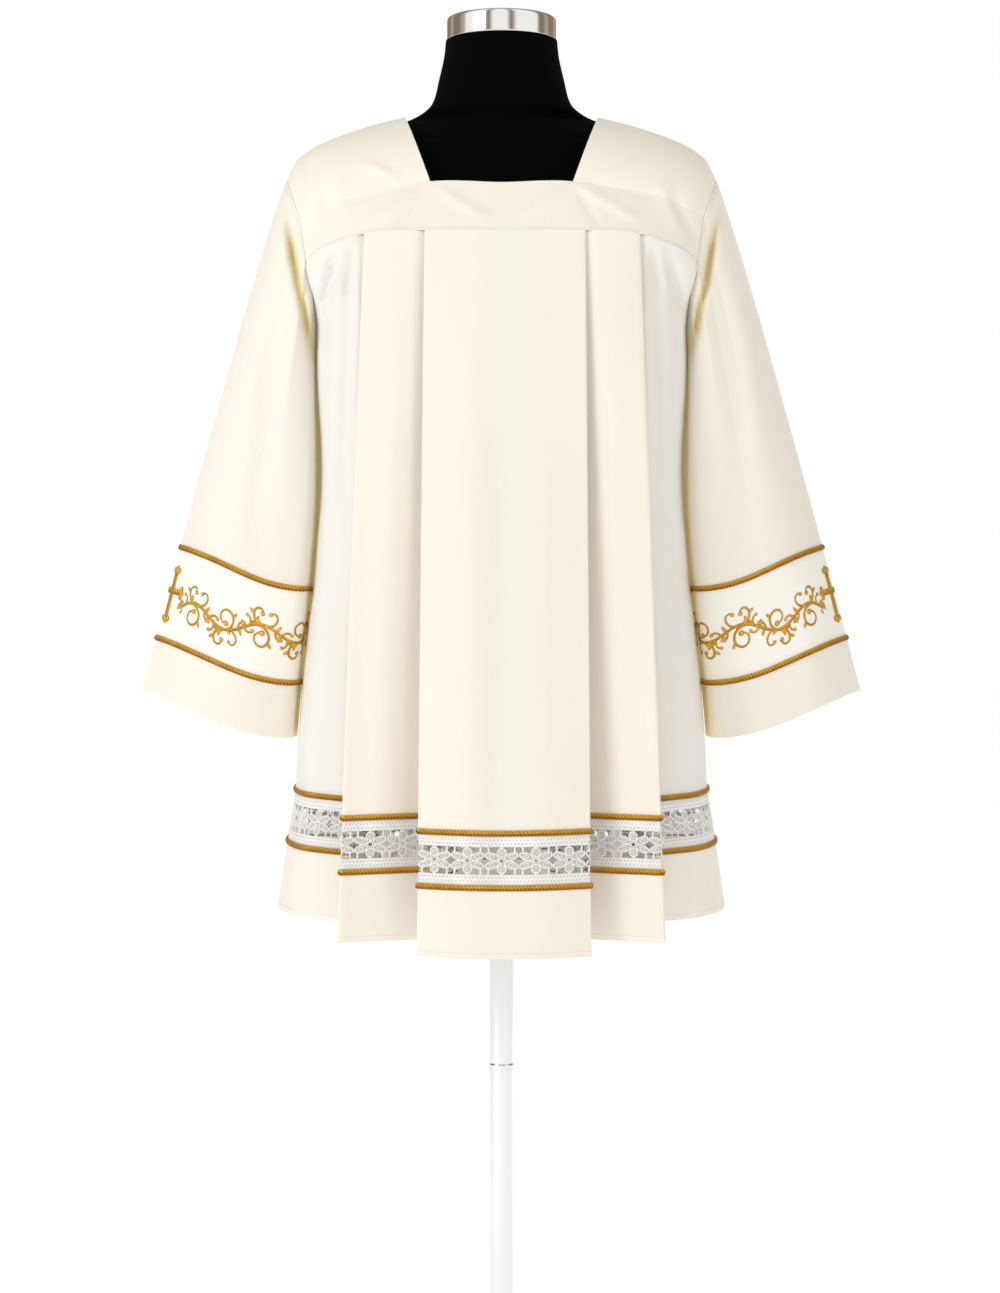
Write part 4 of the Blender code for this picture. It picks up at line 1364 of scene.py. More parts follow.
class Yoke:
    """The band across the chest or the back, and the arch of the shoulders that grows from it."""

    def __init__(self, face: Face) -> None:
        """Takes the face's cut."""
        self.cut = CUTS[face]

    def _seam(self, breadth: Array, heights: Table, half_breadth: float, depth: float) -> Array:
        """Points on a seam: its height from a table, less the drop, and its depth from an oval."""
        height = along(heights, np.abs(breadth)) - self.cut.drop_at(np.abs(breadth))
        out = self.cut.direction * oval_depth(breadth, half_breadth, depth)
        return np.stack([breadth, out, height], axis=-1)

    def upper_seam(self, breadth: Array) -> Array:
        """Points on the yoke's upper seam."""
        return self._seam(breadth, YOKE_UPPER_SEAM, YOKE_OVAL_TOP, self.cut.top_depth)

    def lower_seam(self, breadth: Array) -> Array:
        """Points on the yoke's lower seam."""
        return self._seam(breadth, YOKE_LOWER_SEAM, YOKE_OVAL_SEAM, self.cut.seam_depth)

    def grid(self, rows: int, columns: int) -> Array:
        """Points of the band: straight down from one seam to the other, then creased."""
        share = np.linspace(-1.0, 1.0, columns)
        box = {side: self.cut.pleats[side].box for side in Side}
        edge = np.where(share < 0, box[Side.RIGHT], box[Side.LEFT])
        lower = share * ARMHOLE_AT_SEAM
        away = np.abs(lower)
        beside = (away - edge) / (ARMHOLE_AT_SEAM - edge)
        upper = np.sign(share) * np.where(away < edge, away / edge * NECK_CORNER,
                                          between(NECK_CORNER, ARMHOLE_AT_YOKE_TOP, beside))
        top = self.upper_seam(upper) - (0, 0, SEAM_GAP / 2)
        foot = self.lower_seam(lower) + (0, 0, YOKE_CLEARANCE)
        down = np.linspace(0.0, 1.0, rows)[:, None, None]
        return self.cut.facing_out(self.cut.creased(between(top, foot, down)))

    def side_edge(self, share: Array, side: Side) -> Array:
        """Points down the armhole edge of the band, as on the wearer's left."""
        top = self.upper_seam(np.array([ARMHOLE_AT_YOKE_TOP])) - (0, 0, SEAM_GAP / 2)
        foot = self.lower_seam(np.array([ARMHOLE_AT_SEAM])) + (0, 0, YOKE_CLEARANCE)
        return side.placed(self.cut.creased(side.placed(between(top, foot, share[:, None]))))

    def arch(self, across: Array, angle: Array, side: Side) -> Array:
        """Points of a shoulder piece: height by the angle's sine, depth by its cosine.

        Args:
            across: share of the way from the neck to the armhole.
            angle: angle up from the yoke's seam, a right angle at the shoulder line.
            side: whose creases to use.

        Returns:
            Points as on the wearer's left.
        """
        seam = self.upper_seam(between(NECK_CORNER, ARMHOLE_AT_YOKE_TOP, across))
        breadth = between(NECK_AT_SHOULDER, ARMHOLE_AT_SHOULDER, across)
        ridge = np.stack([breadth, 0 * breadth, along(SHOULDER_LINE, breadth)], axis=-1)
        up = np.sin(angle)[..., None]
        out = np.abs(np.cos(angle))
        points = between(seam, ridge, up)
        points[..., 1] = seam[..., 1] * out
        points[..., 2] += SEAM_GAP / 2 * (1 - up[..., 0])
        return side.placed(self.cut.creased(side.placed(points), out))


class ShoulderPiece:
    """The cloth over one shoulder, from the back yoke to the front yoke."""

    def __init__(self, side: Side) -> None:
        """Takes the side."""
        self.side = side
        self.yokes = {face: Yoke(face) for face in Face}

    def grid(self, rows: int, columns: int) -> Array:
        """Points by rows from the back seam over the shoulder to the front seam."""
        across = np.broadcast_to(np.linspace(0.0, 1.0, columns), (rows, columns))
        rise = np.linspace(0.0, np.pi / 2, rows)[:, None] + 0 * across
        back = self.yokes[Face.BACK].arch(across, rise, self.side)
        front = self.yokes[Face.FRONT].arch(across, rise, self.side)
        points = np.concatenate([back, front[-2::-1]])
        return points if self.side is Side.LEFT else self.side.placed(points[:, ::-1])


@dataclass(frozen=True)
class CuffPlan:
    """The ring at a sleeve's end, and how the cloth hangs between the armhole and it.

    The ring's depth is a power of the turn's sine, low at the inner end, so that it is square
    there, and high at the outer end, where the cloth is pressed to a crease.
    """

    outer: Pair = (0.3764, 0.849)
    inner: Pair = (0.2165, 0.801)
    half_depth: float = 0.060
    taper: float = 0.20
    power: float = 1.275
    power_outwards: float = 0.925
    sag: float = 0.0063
    sag_inwards: float = 1.3
    clearance: Pair = (0.0005, -0.0002)
    bulge: float = 0.005
    inner_bulge: float = 0.0092
    inner_power: float = 0.8
    bulge_power: float = 0.7
    corner: float = 0.018
    corner_draw: float = 0.0038
    draw_power: float = 1.5
    # Depth of the fold at which its painted shade is full.
    painted_fold_shade_depth: float = 0.010
    blur: int = 13
    blur_reach: float = 0.5
    # Brings the peak of the inner corners, the cosine's fourth power by the sine, to about 1.
    corner_level: float = 3.5
    crease_facing: float = 1.5


class SleeveShape:
    """A sleeve as a closed grid from the armhole down to the cuff.

    Its columns go from the shoulder by the back and the underarm to the front. Each is a straight
    line to a drop-shaped ring, bulged a little between and creased by the armhole.
    """

    creases = creases(
        (2232, 13400, 1940, 11900, 42, -110), (2160, 13300, 2030, 12500, 42, 18),
        (2290, 13350, 2190, 12750, 60, 20), (2420, 13300, 2700, 10600, 180, 40),
        (2350, 12500, 2550, 9400, 160, -40), (2900, 11500, 3300, 8600, 200, 30),
        (2450, 9800, 2600, 8000, 200, 22), (2900, 9500, 3050, 8100, 180, -20))

    def __init__(self, side: Side, panels: dict[Face, Panel]) -> None:
        """Takes the side and the panels that the sleeve is sewn to."""
        self.side = side
        self.plan = CuffPlan()
        self.panels = panels
        self.yokes = {face: Yoke(face) for face in Face}

    def _armhole(self, face: Face, quarter: Array) -> Array:
        """The armhole's edge on one face: four shares over the shoulder, two down the yoke, four
        down the panel."""
        angle = np.pi / 2 * (1 - quarter / 4)
        over = self.yokes[face].arch(np.ones(len(quarter)), angle, self.side)
        yoke = self.yokes[face].side_edge(np.clip((quarter - 4) / 2, 0, 1), self.side)
        panel = self.panels[face].armhole_edge(self.side, np.clip((quarter - 6) / 4, 0, 1))
        edge = np.where((quarter < 4)[:, None], over, np.where((quarter < 6)[:, None], yoke, panel))
        edge[quarter >= 10 - 1e-9, 1] = 0.0
        return edge

    def grid(self, rows: int, columns: int) -> Array:
        """Points of the whole sleeve."""
        plan = self.plan
        quarter = 20 * np.arange(columns) / columns
        back = self._armhole(Face.BACK, np.minimum(quarter, 10.0))
        front = self._armhole(Face.FRONT, np.minimum(20.0 - quarter, 10.0))
        start = np.where((quarter <= 10)[:, None], back, front)
        start = start + (plan.clearance[0], 0.0, plan.clearance[1])
        turn = 2 * np.pi * quarter / 20
        cosine, sine = np.cos(turn), np.sin(turn)
        outward = (1 + cosine) / 2
        power = plan.power + plan.power_outwards * cosine
        end = np.stack([
            between(plan.inner[0], plan.outer[0], outward),
            plan.half_depth * power_of(sine, power) * (1 - plan.taper * cosine),
            between(plan.inner[1], plan.outer[1], outward)
            - plan.sag * sine ** 2 * (1 - plan.sag_inwards * cosine),
        ], axis=-1)
        share = np.linspace(0.0, 1.0, rows)[:, None]
        shifts = range(-plan.blur, plan.blur + 1)
        blurred = np.mean([np.roll(start, shift, axis=0) for shift in shifts], axis=0)
        eased = between(start, blurred, soft_step(share / plan.blur_reach)[..., None])
        shape = GridSurface(between(eased, end, share[..., None]), closed=True)
        hang = np.sin(np.pi * share ** plan.bulge_power)
        outer, inner = np.clip(cosine, 0, 1), np.clip(-cosine, 0, 1)
        relief = (plan.bulge * outer * hang
                  + plan.inner_bulge * inner * np.sin(np.pi * share ** plan.inner_power) ** 2)
        made = shape.raised(relief).points[:, :-1]
        corner = plan.corner_level * inner ** 4 * sine
        made[..., 1] += hang * plan.corner * corner
        made[..., 0] -= np.sin(np.pi * share ** plan.draw_power) * plan.corner_draw * np.abs(corner)
        facing = shape.outward[:, :-1, 1]
        creases = relief_of(self.creases, made[..., 0], made[..., 2]) * soft_step(share / 0.02)
        shown = np.clip(plan.crease_facing * np.abs(facing), 0, 1) ** plan.crease_facing
        made[..., 1] += np.sign(facing) * shown * creases
        return made if self.side is Side.LEFT else self.side.placed(made[:, ::-1])

    @staticmethod
    def close(columns: int) -> Array:
        """Painted glow where the cloth hangs close to the body, for each column: by its inner edge.
        """
        return np.clip(-np.cos(2 * np.pi * np.arange(columns) / columns), 0, 1) ** 8

    def folded(self, points: Array) -> Array:
        """Painted shade for the long fold by the armhole: how deep each point of the sleeve lies in
        it, from 0 to 1.
        """
        relief = self.creases[0].relief(np.abs(points[..., 0]), points[..., 2])
        return np.clip(-relief / self.plan.painted_fold_shade_depth, 0, 1)


# ---- Pieces ----
def edged(grid: Array, closed: bool) -> Array:
    """A grid with one more row just inside each edge, so that the wall's edges stay crisp.

    Args:
        grid: rows by columns by any number.
        closed: whether it is a tube, which has no edges at its first and last columns.

    Returns:
        The grid, with a row more at both ends and, if it isn't closed, a column more too.
    """
    near = 0.06
    rows = np.concatenate([grid[:1], between(grid[:1], grid[1:2], near), grid[1:-1],
                           between(grid[-1:], grid[-2:-1], near), grid[-1:]])
    return rows if closed else edged(rows.swapaxes(0, 1), True).swapaxes(0, 1)


def sewn(name: str, points: Array, material: Material, nodes: Sequence[str], closed: bool = False,
         **marks: Array | float) -> Object:
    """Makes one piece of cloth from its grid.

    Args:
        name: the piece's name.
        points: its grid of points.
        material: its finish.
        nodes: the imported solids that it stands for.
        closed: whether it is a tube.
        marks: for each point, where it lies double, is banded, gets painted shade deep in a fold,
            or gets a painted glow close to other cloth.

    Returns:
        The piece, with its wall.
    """
    surface = GridSurface(points, closed)
    rows, columns = points.shape[:2]
    wide = surface.points.shape[1]
    share = np.linspace(1.0, 0.0, rows)[:, None]
    across = np.broadcast_to(surface.across, (rows, wide))
    places = edged(np.stack([across, surface.lengths * share], axis=-1), closed)
    marks = {mark: edged(np.array(np.broadcast_to(value, (rows, columns)), float), closed)
             for mark, value in marks.items()}
    points = edged(points, closed)
    corners = grid_faces(*places.shape[:2], False).reshape(-1)
    mesh = make_mesh(name, points.reshape(-1, 3), [grid_faces(*points.shape[:2], closed)],
                     places.reshape(-1, 2)[corners], marks)
    piece = add_piece(mesh, material, nodes)
    add_wall(piece)
    return piece


@dataclass
class Cord:
    """A gold rope couched flat on the cloth."""

    half_width: float = 0.0031
    height: float = 0.0020
    base: float = 0.0011
    step: float = 0.0008
    sides: int = 12
    strands: int = 3
    pitch: float = 0.0036
    depth: float = 0.16
    # Painted shade on the cord's lower side.
    fall: float = 0.80

    def drawn(self, cloth: GridSurface, level: float) -> FlatWork:
        """Draws the cord across a cloth at one height above its edge."""
        count = int(cloth.breadth / self.step)
        path = level_line(0.0, cloth.breadth, level, count, not cloth.closed)
        turns = max(1, round(cloth.breadth / (self.pitch * self.strands)))
        work = FlatWork()
        work.band(path, self.half_width, self.height, self.base, self.sides, closed=cloth.closed,
                  twist=cloth.breadth / turns, strands=self.strands, strand_depth=self.depth,
                  fall=self.fall)
        return work


@dataclass(frozen=True)
class Stitches:
    """A row of small stitches, drawn once and repeated."""

    length: float = 0.0022
    pitch: float = 0.0034
    half_width: float = 0.00028
    height: float = 0.00042
    base: float = WALL / 2
    margin: float = 0.002

    def drawn(self, cloth: GridSurface, level: float) -> FlatWork:
        """Draws the row across a cloth at one height above its edge, with a margin at both ends."""
        rise = np.array([0.3, 1.0, 1.0, 0.3])
        one = FlatWork()
        one.band(level_line(0.0, self.length, level, len(rise)), self.half_width * rise,
                 self.height * rise, self.base, 6)
        count = int((cloth.breadth - 2 * self.margin) / self.pitch)
        return one.repeated(self.margin + self.pitch * np.arange(count))


@dataclass(frozen=True)
class Ring:
    """A ring of lace thread: its half length and half breadth, and half the thread's width."""

    size: Pair
    thread: float
    count: int
    sides: int = 6
    point: float = 0.0


@dataclass
class Lace:
    """Open lace: flowers of two round and four long petals between two woven edges.

    A petal is a ring of thread round a smaller one, with a sheet between them coloured dark as
    painted shade.
    """

    middle: float = (HEM_BAND + HEM_LACE_TOP) / 2
    half_height: float = 0.0247
    edge: float = 0.0107
    repeat: float = 0.0345
    base: float = -0.0002
    height: float = 0.0009
    heart: Ring = Ring((0.0026, 0.0026), 0.0008, 12)
    round_petal: Ring = Ring((0.0043, 0.0042), 0.00095, 14)
    round_eye: Ring = Ring((0.0018, 0.0018), 0.0006, 8, 5)
    # Sheets inside the petals, coloured dark as painted shade.
    round_shade_sheet: Pair = (0.0039, 0.0038)
    round_centre: float = 0.0081
    long_petal: Ring = Ring((0.0068, 0.0037), 0.00095, 16, point=0.2)
    long_eye: Ring = Ring((0.0030, 0.0014), 0.0006, 10, 5)
    long_shade_sheet: Pair = (0.0060, 0.0032)
    long_centre: Pair = (0.0098, 0.0041)
    long_reach: Pair = (0.0170, 0.0054)
    # Bars of thread: where each starts and ends, and half its width.
    round_foot: float = 0.0112
    round_bar: float = 0.0019
    long_foot: Pair = (0.0128, 0.0065)
    long_top: float = 0.0132
    long_bar: float = 0.0011
    side_foot: Pair = (0.0150, 0.0052)
    side_end: float = 0.0174
    side_bar: float = 0.0013
    # Small dark spots along both edges: painted shade, standing in for tiny holes.
    shade_spots: int = 9
    # Columns: height above the edge's foot, half length, share of a step that the row is shifted.
    shade_spot_rows: Table = ((0.0026, 0.0009, 0.0), (0.0062, 0.0007, 0.5))
    first_shade_spot: float = -0.0172
    edge_step: float = 0.002
    overlap: float = 0.0006
    margin: float = 0.0004

    def _ring(self, work: FlatWork, ring: Ring, centre: Pair, lean: float = 0.0) -> None:
        """Draws a ring of thread about a place measured from the flower's middle."""
        turn = 2 * np.pi * np.arange(ring.count) / ring.count
        path = np.stack(leaned(*oval(turn, ring.size, ring.point), lean), axis=-1)
        path = path + (centre[0], self.middle + centre[1])
        work.band(path, ring.thread, self.height, self.base, ring.sides, closed=True)

    def _shade_sheet(self, work: FlatWork, size: Pair, centre: Pair, lean: float = 0.0) -> None:
        """Draws a sheet inside a petal, coloured dark as painted shade."""
        work.pad((centre[0], self.middle + centre[1]), size, lean,
                 ((1.0, self.base, 0.9), (0.9, self.base + 0.0003, 0.8)), sides=10)

    def _bar(self, work: FlatWork, start: Pair, end: Pair, thread: float) -> None:
        """Draws a short bar of thread between two places."""
        path = np.array([start, np.add(start, end) / 2, end]) + (0, self.middle)
        work.band(path, thread, self.height * 0.9, self.base, 6)

    def _flower(self) -> FlatWork:
        """One repeat: a flower, its bars to the edges, and small dark spots along the edges:
        painted shade, standing in for tiny holes.
        """
        work = FlatWork()
        inner = self.half_height - self.edge
        rim = inner + 0.001
        self._ring(work, self.heart, (0.0, 0.0))
        for up in (-1, 1):
            centre = (0.0, up * self.round_centre)
            self._ring(work, self.round_petal, centre, math.pi / 2)
            self._ring(work, self.round_eye, centre)
            self._shade_sheet(work, self.round_shade_sheet, centre)
            self._bar(work, (0.0, up * self.round_foot), (0.0, up * rim), self.round_bar)
            for across in (-1, 1):
                lean = math.atan2(up * self.long_reach[1], across * self.long_reach[0])
                centre = (across * self.long_centre[0], up * self.long_centre[1])
                self._ring(work, self.long_petal, centre, lean)
                self._ring(work, self.long_eye, centre, lean)
                self._shade_sheet(work, self.long_shade_sheet, centre, lean)
                foot, side = self.long_foot, self.side_foot
                self._bar(work, (across * foot[0], up * foot[1]),
                          (across * self.long_top, up * rim), self.long_bar)
                self._bar(work, (across * side[0], up * side[1]),
                          (across * self.side_end, up * side[1]), self.side_bar)
            # Painted shade: rows of dark spots along each edge.
            for k in range(self.shade_spots):
                for level, size, shift in self.shade_spot_rows:
                    across = self.first_shade_spot + (k + shift) * self.repeat / self.shade_spots
                    work.pad((across, self.middle + up * (inner + level)), (size, size * 0.7), 0.0,
                             ((1.0, 0.0, 0.9), (0.95, self.height * 0.55, 1.0)), sides=6)
        return work

    def drawn(self, cloth: GridSurface) -> FlatWork:
        """Draws the lace along a cloth's band: whole flowers from seam to seam, and both edges."""
        centre = cloth.breadth / 2
        each_way = round(centre / self.repeat - 0.5)
        spacing = (centre - self.margin) / (each_way + 0.5)
        work = self._flower().repeated(centre + spacing * np.arange(-each_way, each_way + 1))
        for up in (-1, 1):
            level = self.middle + up * (self.half_height - self.edge / 2)
            path = level_line(0.0, cloth.breadth, level, int(cloth.breadth / self.edge_step))
            work.band(path, self.edge / 2 + self.overlap, self.height * 0.72, self.base,
                      squareness=5.0)
        return work


def curl(start: Pair, heading: float, length: float, bends: Pair,
         count: int) -> Array:
    """A curling line, whose curvature goes evenly from one value to another.

    Args:
        start: where it starts.
        heading: its direction there.
        length: its length.
        bends: its curvature at the start and at the end, above 0 to the left.
        count: number of points.

    Returns:
        Rows of distance across and up.
    """
    s = np.linspace(0.0, 1.0, count)
    turn = heading + length * (bends[0] * s + (bends[1] - bends[0]) * s * s / 2)
    middle = (turn[1:] + turn[:-1]) / 2
    moves = np.stack([np.cos(middle), np.sin(middle)], axis=-1) * (length / (count - 1))
    return np.concatenate([[start], start + np.cumsum(moves, axis=0)])


@dataclass(frozen=True)
class Tendril:
    """A curl that grows from the vine's stem near each crest, as on a crest's upper side.

    Its place is a share of the vine's period past the crest. Leaves are shares of the curl's
    length and angles from it.
    """

    place: float
    heading: float
    length: float
    bends: Pair
    count: int
    bud: Pair
    sunk: float = 0.0
    width: float = 0.0018
    taper: float = 0.3
    leaves: tuple[Pair, ...] = ()


COIL = Tendril(-0.17, 0.62, 0.070, (-40, -165), 30, (0.0036, 0.0030),
               leaves=((0.30, 1.1), (0.52, 1.2)))
CURL = Tendril(-0.04, 2.45, 0.031, (-10, -270), 20, (0.0028, 0.0025), sunk=0.0008,
               leaves=((0.45, 1.1),))
SHORT_CURL = Tendril(0.10, 0.35, 0.025, (30, 270), 16, (0.0025, 0.0022), width=0.00153)
# Columns: place, heading, way of the bend.
HOOK_ROWS = ((-0.30682, 1.7, -1), (-0.15909, 1.2, 1), (0.27273, 0.9, -1), (0.35227, -1.3, 1))
HOOKS = tuple(Tendril(place, heading, 0.0125, (way * 60, way * 260), 9, (0.0023, 0.0020),
                      width=0.00153, taper=0.2) for place, heading, way in HOOK_ROWS)
# Columns: place, heading, half length.
STEM_LEAVES = ((-0.23864, 1.9, 0.0042), (-0.06818, 1.45, 0.0046), (0.20455, 1.0, 0.0040))
# Columns: place past the vine's start, height from it, half length and breadth, lean, point.
ROOT_LEAVES = ((-0.002, 0.0, (0.0042, 0.0030), math.pi, 0.5),
               (0.002, 0.0045, (0.0034, 0.0019), 2.2, 0.6),
               (0.002, -0.0045, (0.0034, 0.0019), -2.2, 0.6))


@dataclass(frozen=True)
class Bead:
    """A bud or a leaf of the embroidery."""

    place: Pair
    size: Pair
    lean: float = 0.0
    point: float = 0.0


@dataclass
class Embroidery:
    """Gold satin stitch round a sleeve: a budded cross over the arm and a vine to both sides."""

    height: float = 0.0010
    base: float = 0.0003
    # Painted shade on the lower side of each stem and arm.
    fall: float = 0.75
    stem: float = 0.0020
    middle: float = 0.0960
    climb: float = 0.075
    start: float = 0.024
    period: float = 0.086
    swing: float = 0.0080
    shift: float = 0.009
    cross: Pair = (0.0800, 0.1310)
    cross_bar: float = 0.1095
    cross_arm: float = 0.0175
    cross_width: float = 0.0036
    cross_bud: Pair = (0.0043, 0.0034)
    bud_spread: float = 1.25
    bud_reach: Triple = (0.0038, 0.0028, 0.0038)
    curl_room: float = 0.008
    leaf_room: float = 0.004
    leaf: Pair = (0.0034, 0.0021)
    # Beads are painted darker at the foot and lighter on top: painted shade and painted highlight.
    bead_rings: Table = ((1.0, 0.0003, 0.9), (0.9, 0.0010, 0.5), (0.5, 0.0014, 0.15))

    def _line(self, work: FlatWork, path: Array, width: float, taper: float) -> None:
        """Draws a stem that narrows towards its end."""
        share = np.linspace(0.0, 1.0, len(path))
        work.band(path, width * (1 - taper * share ** 2), self.height * (1 - 0.3 * share),
                  self.base, 7, fall=self.fall)

    def _cross(self, work: FlatWork) -> None:
        """Draws the cross with three buds at each of its four ends."""
        foot, top = self.cross
        arm, bar = self.cross_arm, self.cross_bar
        inset, overlap, count = 0.003, 0.0012, 12
        upright = level_line(foot + inset, top - inset, self.shift, count)[:, ::-1]
        arms = level_line(-arm, arm, bar, count) + (self.shift, 0)
        for path in (upright, arms):
            work.band(path, self.cross_width, self.height * 1.3, self.base, squareness=2.6,
                      fall=self.fall)
        ends = ((0.0, top, math.pi / 2), (0.0, foot, -math.pi / 2),
                (arm, bar, 0.0), (-arm, bar, math.pi))
        for across, up, heading in ends:
            for turn, reach in zip((-1, 0, 1), self.bud_reach):
                lean = heading + turn * self.bud_spread
                place = (self.shift + across + reach * math.cos(lean) - overlap * math.cos(heading),
                         up + reach * math.sin(lean) - overlap * math.sin(heading))
                work.pad(place, self.cross_bud, lean, self.bead_rings, 12)

    def _level(self, place: Array | float) -> Any:
        """Height of the vine's main stem: a sine wave that climbs along it."""
        run = np.asarray(place) - self.start
        return self.middle + self.climb * run + self.swing * np.sin(2 * np.pi * run / self.period)

    def _sprays(self, crest: float, side: int, reach: float) -> tuple[list[Any], list[Bead]]:
        """What grows near a crest: a coil in the hollow, curls, hooks and leaves.

        Args:
            crest: place of the crest along the vine.
            side: 1 where the stem is high and -1 where it is low.
            reach: how far along the vine goes.

        Returns:
            Lines with their widths and tapers, and beads.
        """
        lines, buds, leaves = [], [], []
        for tendril in (COIL, CURL, SHORT_CURL, *HOOKS):
            root = crest + self.period * tendril.place
            if root > reach - self.curl_room:
                continue
            start = (root, float(self._level(root)) - side * tendril.sunk)
            bends = (side * tendril.bends[0], side * tendril.bends[1])
            line = curl(start, side * tendril.heading, tendril.length, bends, tendril.count)
            lines.append((line, tendril.width, tendril.taper))
            buds.append(Bead(line[-1], tendril.bud))
            for share, lean in tendril.leaves:
                at = int(share * (len(line) - 1))
                run = line[at + 1] - line[at]
                tilt = math.atan2(run[1], run[0]) + side * lean
                tip = self.leaf[0] * np.array((math.cos(tilt), math.sin(tilt)))
                leaves.append(Bead(line[at] + tip, self.leaf, tilt, 0.3))
        for place, heading, size in STEM_LEAVES:
            root = crest + self.period * place
            if root > reach - self.leaf_room:
                continue
            tilt = side * heading
            tip = (root + size * math.cos(tilt), float(self._level(root)) + size * math.sin(tilt))
            leaves.append(Bead(tip, (size, size * 0.60), tilt, 0.4))
        return lines, buds + leaves

    def _vine(self, work: FlatWork, hand: int, reach: float) -> None:
        """Draws the vine on one side of the cross.

        Args:
            work: the drawing.
            hand: 1 to one side and -1 to the other.
            reach: how far along the vine goes.
        """
        across = np.linspace(self.start, reach, 96)
        lines = [(np.stack([across, self._level(across)], axis=-1), self.stem, 0.15)]
        beads = [Bead((self.start + past, self.middle + up), size, lean, point)
                 for past, up, size, lean, point in ROOT_LEAVES]
        for number in range(int((reach - self.start) / (self.period / 2))):
            crest = self.start + self.period / 4 + self.period / 2 * number
            grown, budded = self._sprays(crest, (-1) ** number, reach)
            lines += grown
            beads += budded
        for path, width, taper in lines:
            self._line(work, path * (hand, 1) + (self.shift, 0), width, taper)
        for bead in beads:
            place = (hand * bead.place[0] + self.shift, bead.place[1])
            lean = bead.lean if hand > 0 else math.pi - bead.lean
            work.pad(place, bead.size, lean, self.bead_rings, 12, bead.point)

    def drawn(self, cloth: GridSurface) -> FlatWork:
        """Draws the cross and the vine round a sleeve."""
        work = FlatWork()
        self._cross(work)
        for hand in (-1, 1):
            self._vine(work, hand, cloth.breadth * 0.5 - hand * self.shift - 0.004)
        return work


@dataclass
class BodyPanels:
    """Both faces of the body: panel, lace, hem, cords and stitches."""

    finishes: Finishes
    panels: dict[Face, Panel]
    rows: int = 80
    hem_rows: int = 14
    band_rows: int = 36
    band_top: float = 0.140
    hem_doubled: float = 0.85
    stitch: Stitches = Stitches(half_width=0.00020, height=0.00026)
    stitch_level: float = 0.0052
    flat: Pair = (1.00, 0.61)
    area: float = 0.515

    def build(self) -> None:
        """Makes every piece of both faces."""
        for face in Face:
            self._face(face)

    def _face(self, face: Face) -> None:
        """Makes one face's pieces."""
        panel, finishes, name = self.panels[face], self.finishes, face.value
        cloth = sewn(f"{name}_panel", panel.grid(None, HEM_LACE_TOP + SEAM_GAP / 2, self.rows),
                     finishes.cream, [f"body_{name}"], **panel.marks(self.rows))
        hem = sewn(f"{name}_hem", panel.grid(HEM_BAND - SEAM_GAP / 2, 0.0, self.hem_rows),
                   finishes.cream, [f"hem_{name}"], doubled=self.hem_doubled)
        band = GridSurface(panel.grid(self.band_top, 0.0, self.band_rows))
        lace = trimmed(f"{name}_lace", Lace().drawn(band), band, finishes.lace, Slot.LACE,
                       f"lace_{name}")
        cords = [trimmed(f"{name}_hem_cord_{place}", Cord().drawn(band, level), band, finishes.cord,
                         Slot.GOLD, f"hem_cord_{place}_{name}")
                 for place, level in (("upper", HEM_LACE_TOP), ("lower", HEM_BAND))]
        row = self.stitch.drawn(band, self.stitch_level)
        sewing = trimmed(f"{name}_hem_stitches", row, band, finishes.stitch, Slot.CREAM)


@dataclass
class YokeAndShoulders:
    """The band of the yoke on both faces and the two shoulder pieces."""

    finishes: Finishes
    yoke_grid: tuple[int, int] = (18, 121)
    shoulder_grid: tuple[int, int] = (33, 57)
    doubled: float = 0.9
    stitch_level: float = 0.0020
    flat_yoke: Pair = (0.45, 0.080)
    yoke_area: float = 0.022
    flat_shoulder: Pair = (0.33, 0.14)
    shoulder_area: float = 0.0385

    def build(self) -> None:
        """Makes the four pieces and their stitches."""
        for face in Face:
            points = Yoke(face).grid(*self.yoke_grid)
            name = face.value
            piece = sewn(f"{name}_yoke", points, self.finishes.cream, [f"yoke_{name}"],
                         doubled=self.doubled)
            surface = GridSurface(points)
            sewing = trimmed(f"{name}_yoke_stitches", Stitches().drawn(surface, self.stitch_level),
                             surface, self.finishes.stitch, Slot.CREAM)
        for side in Side:
            points = ShoulderPiece(side).grid(*self.shoulder_grid)
            piece = sewn(f"{side.value}_shoulder", points, self.finishes.cream,
                         [f"shoulder_{side.value}"], doubled=self.doubled)


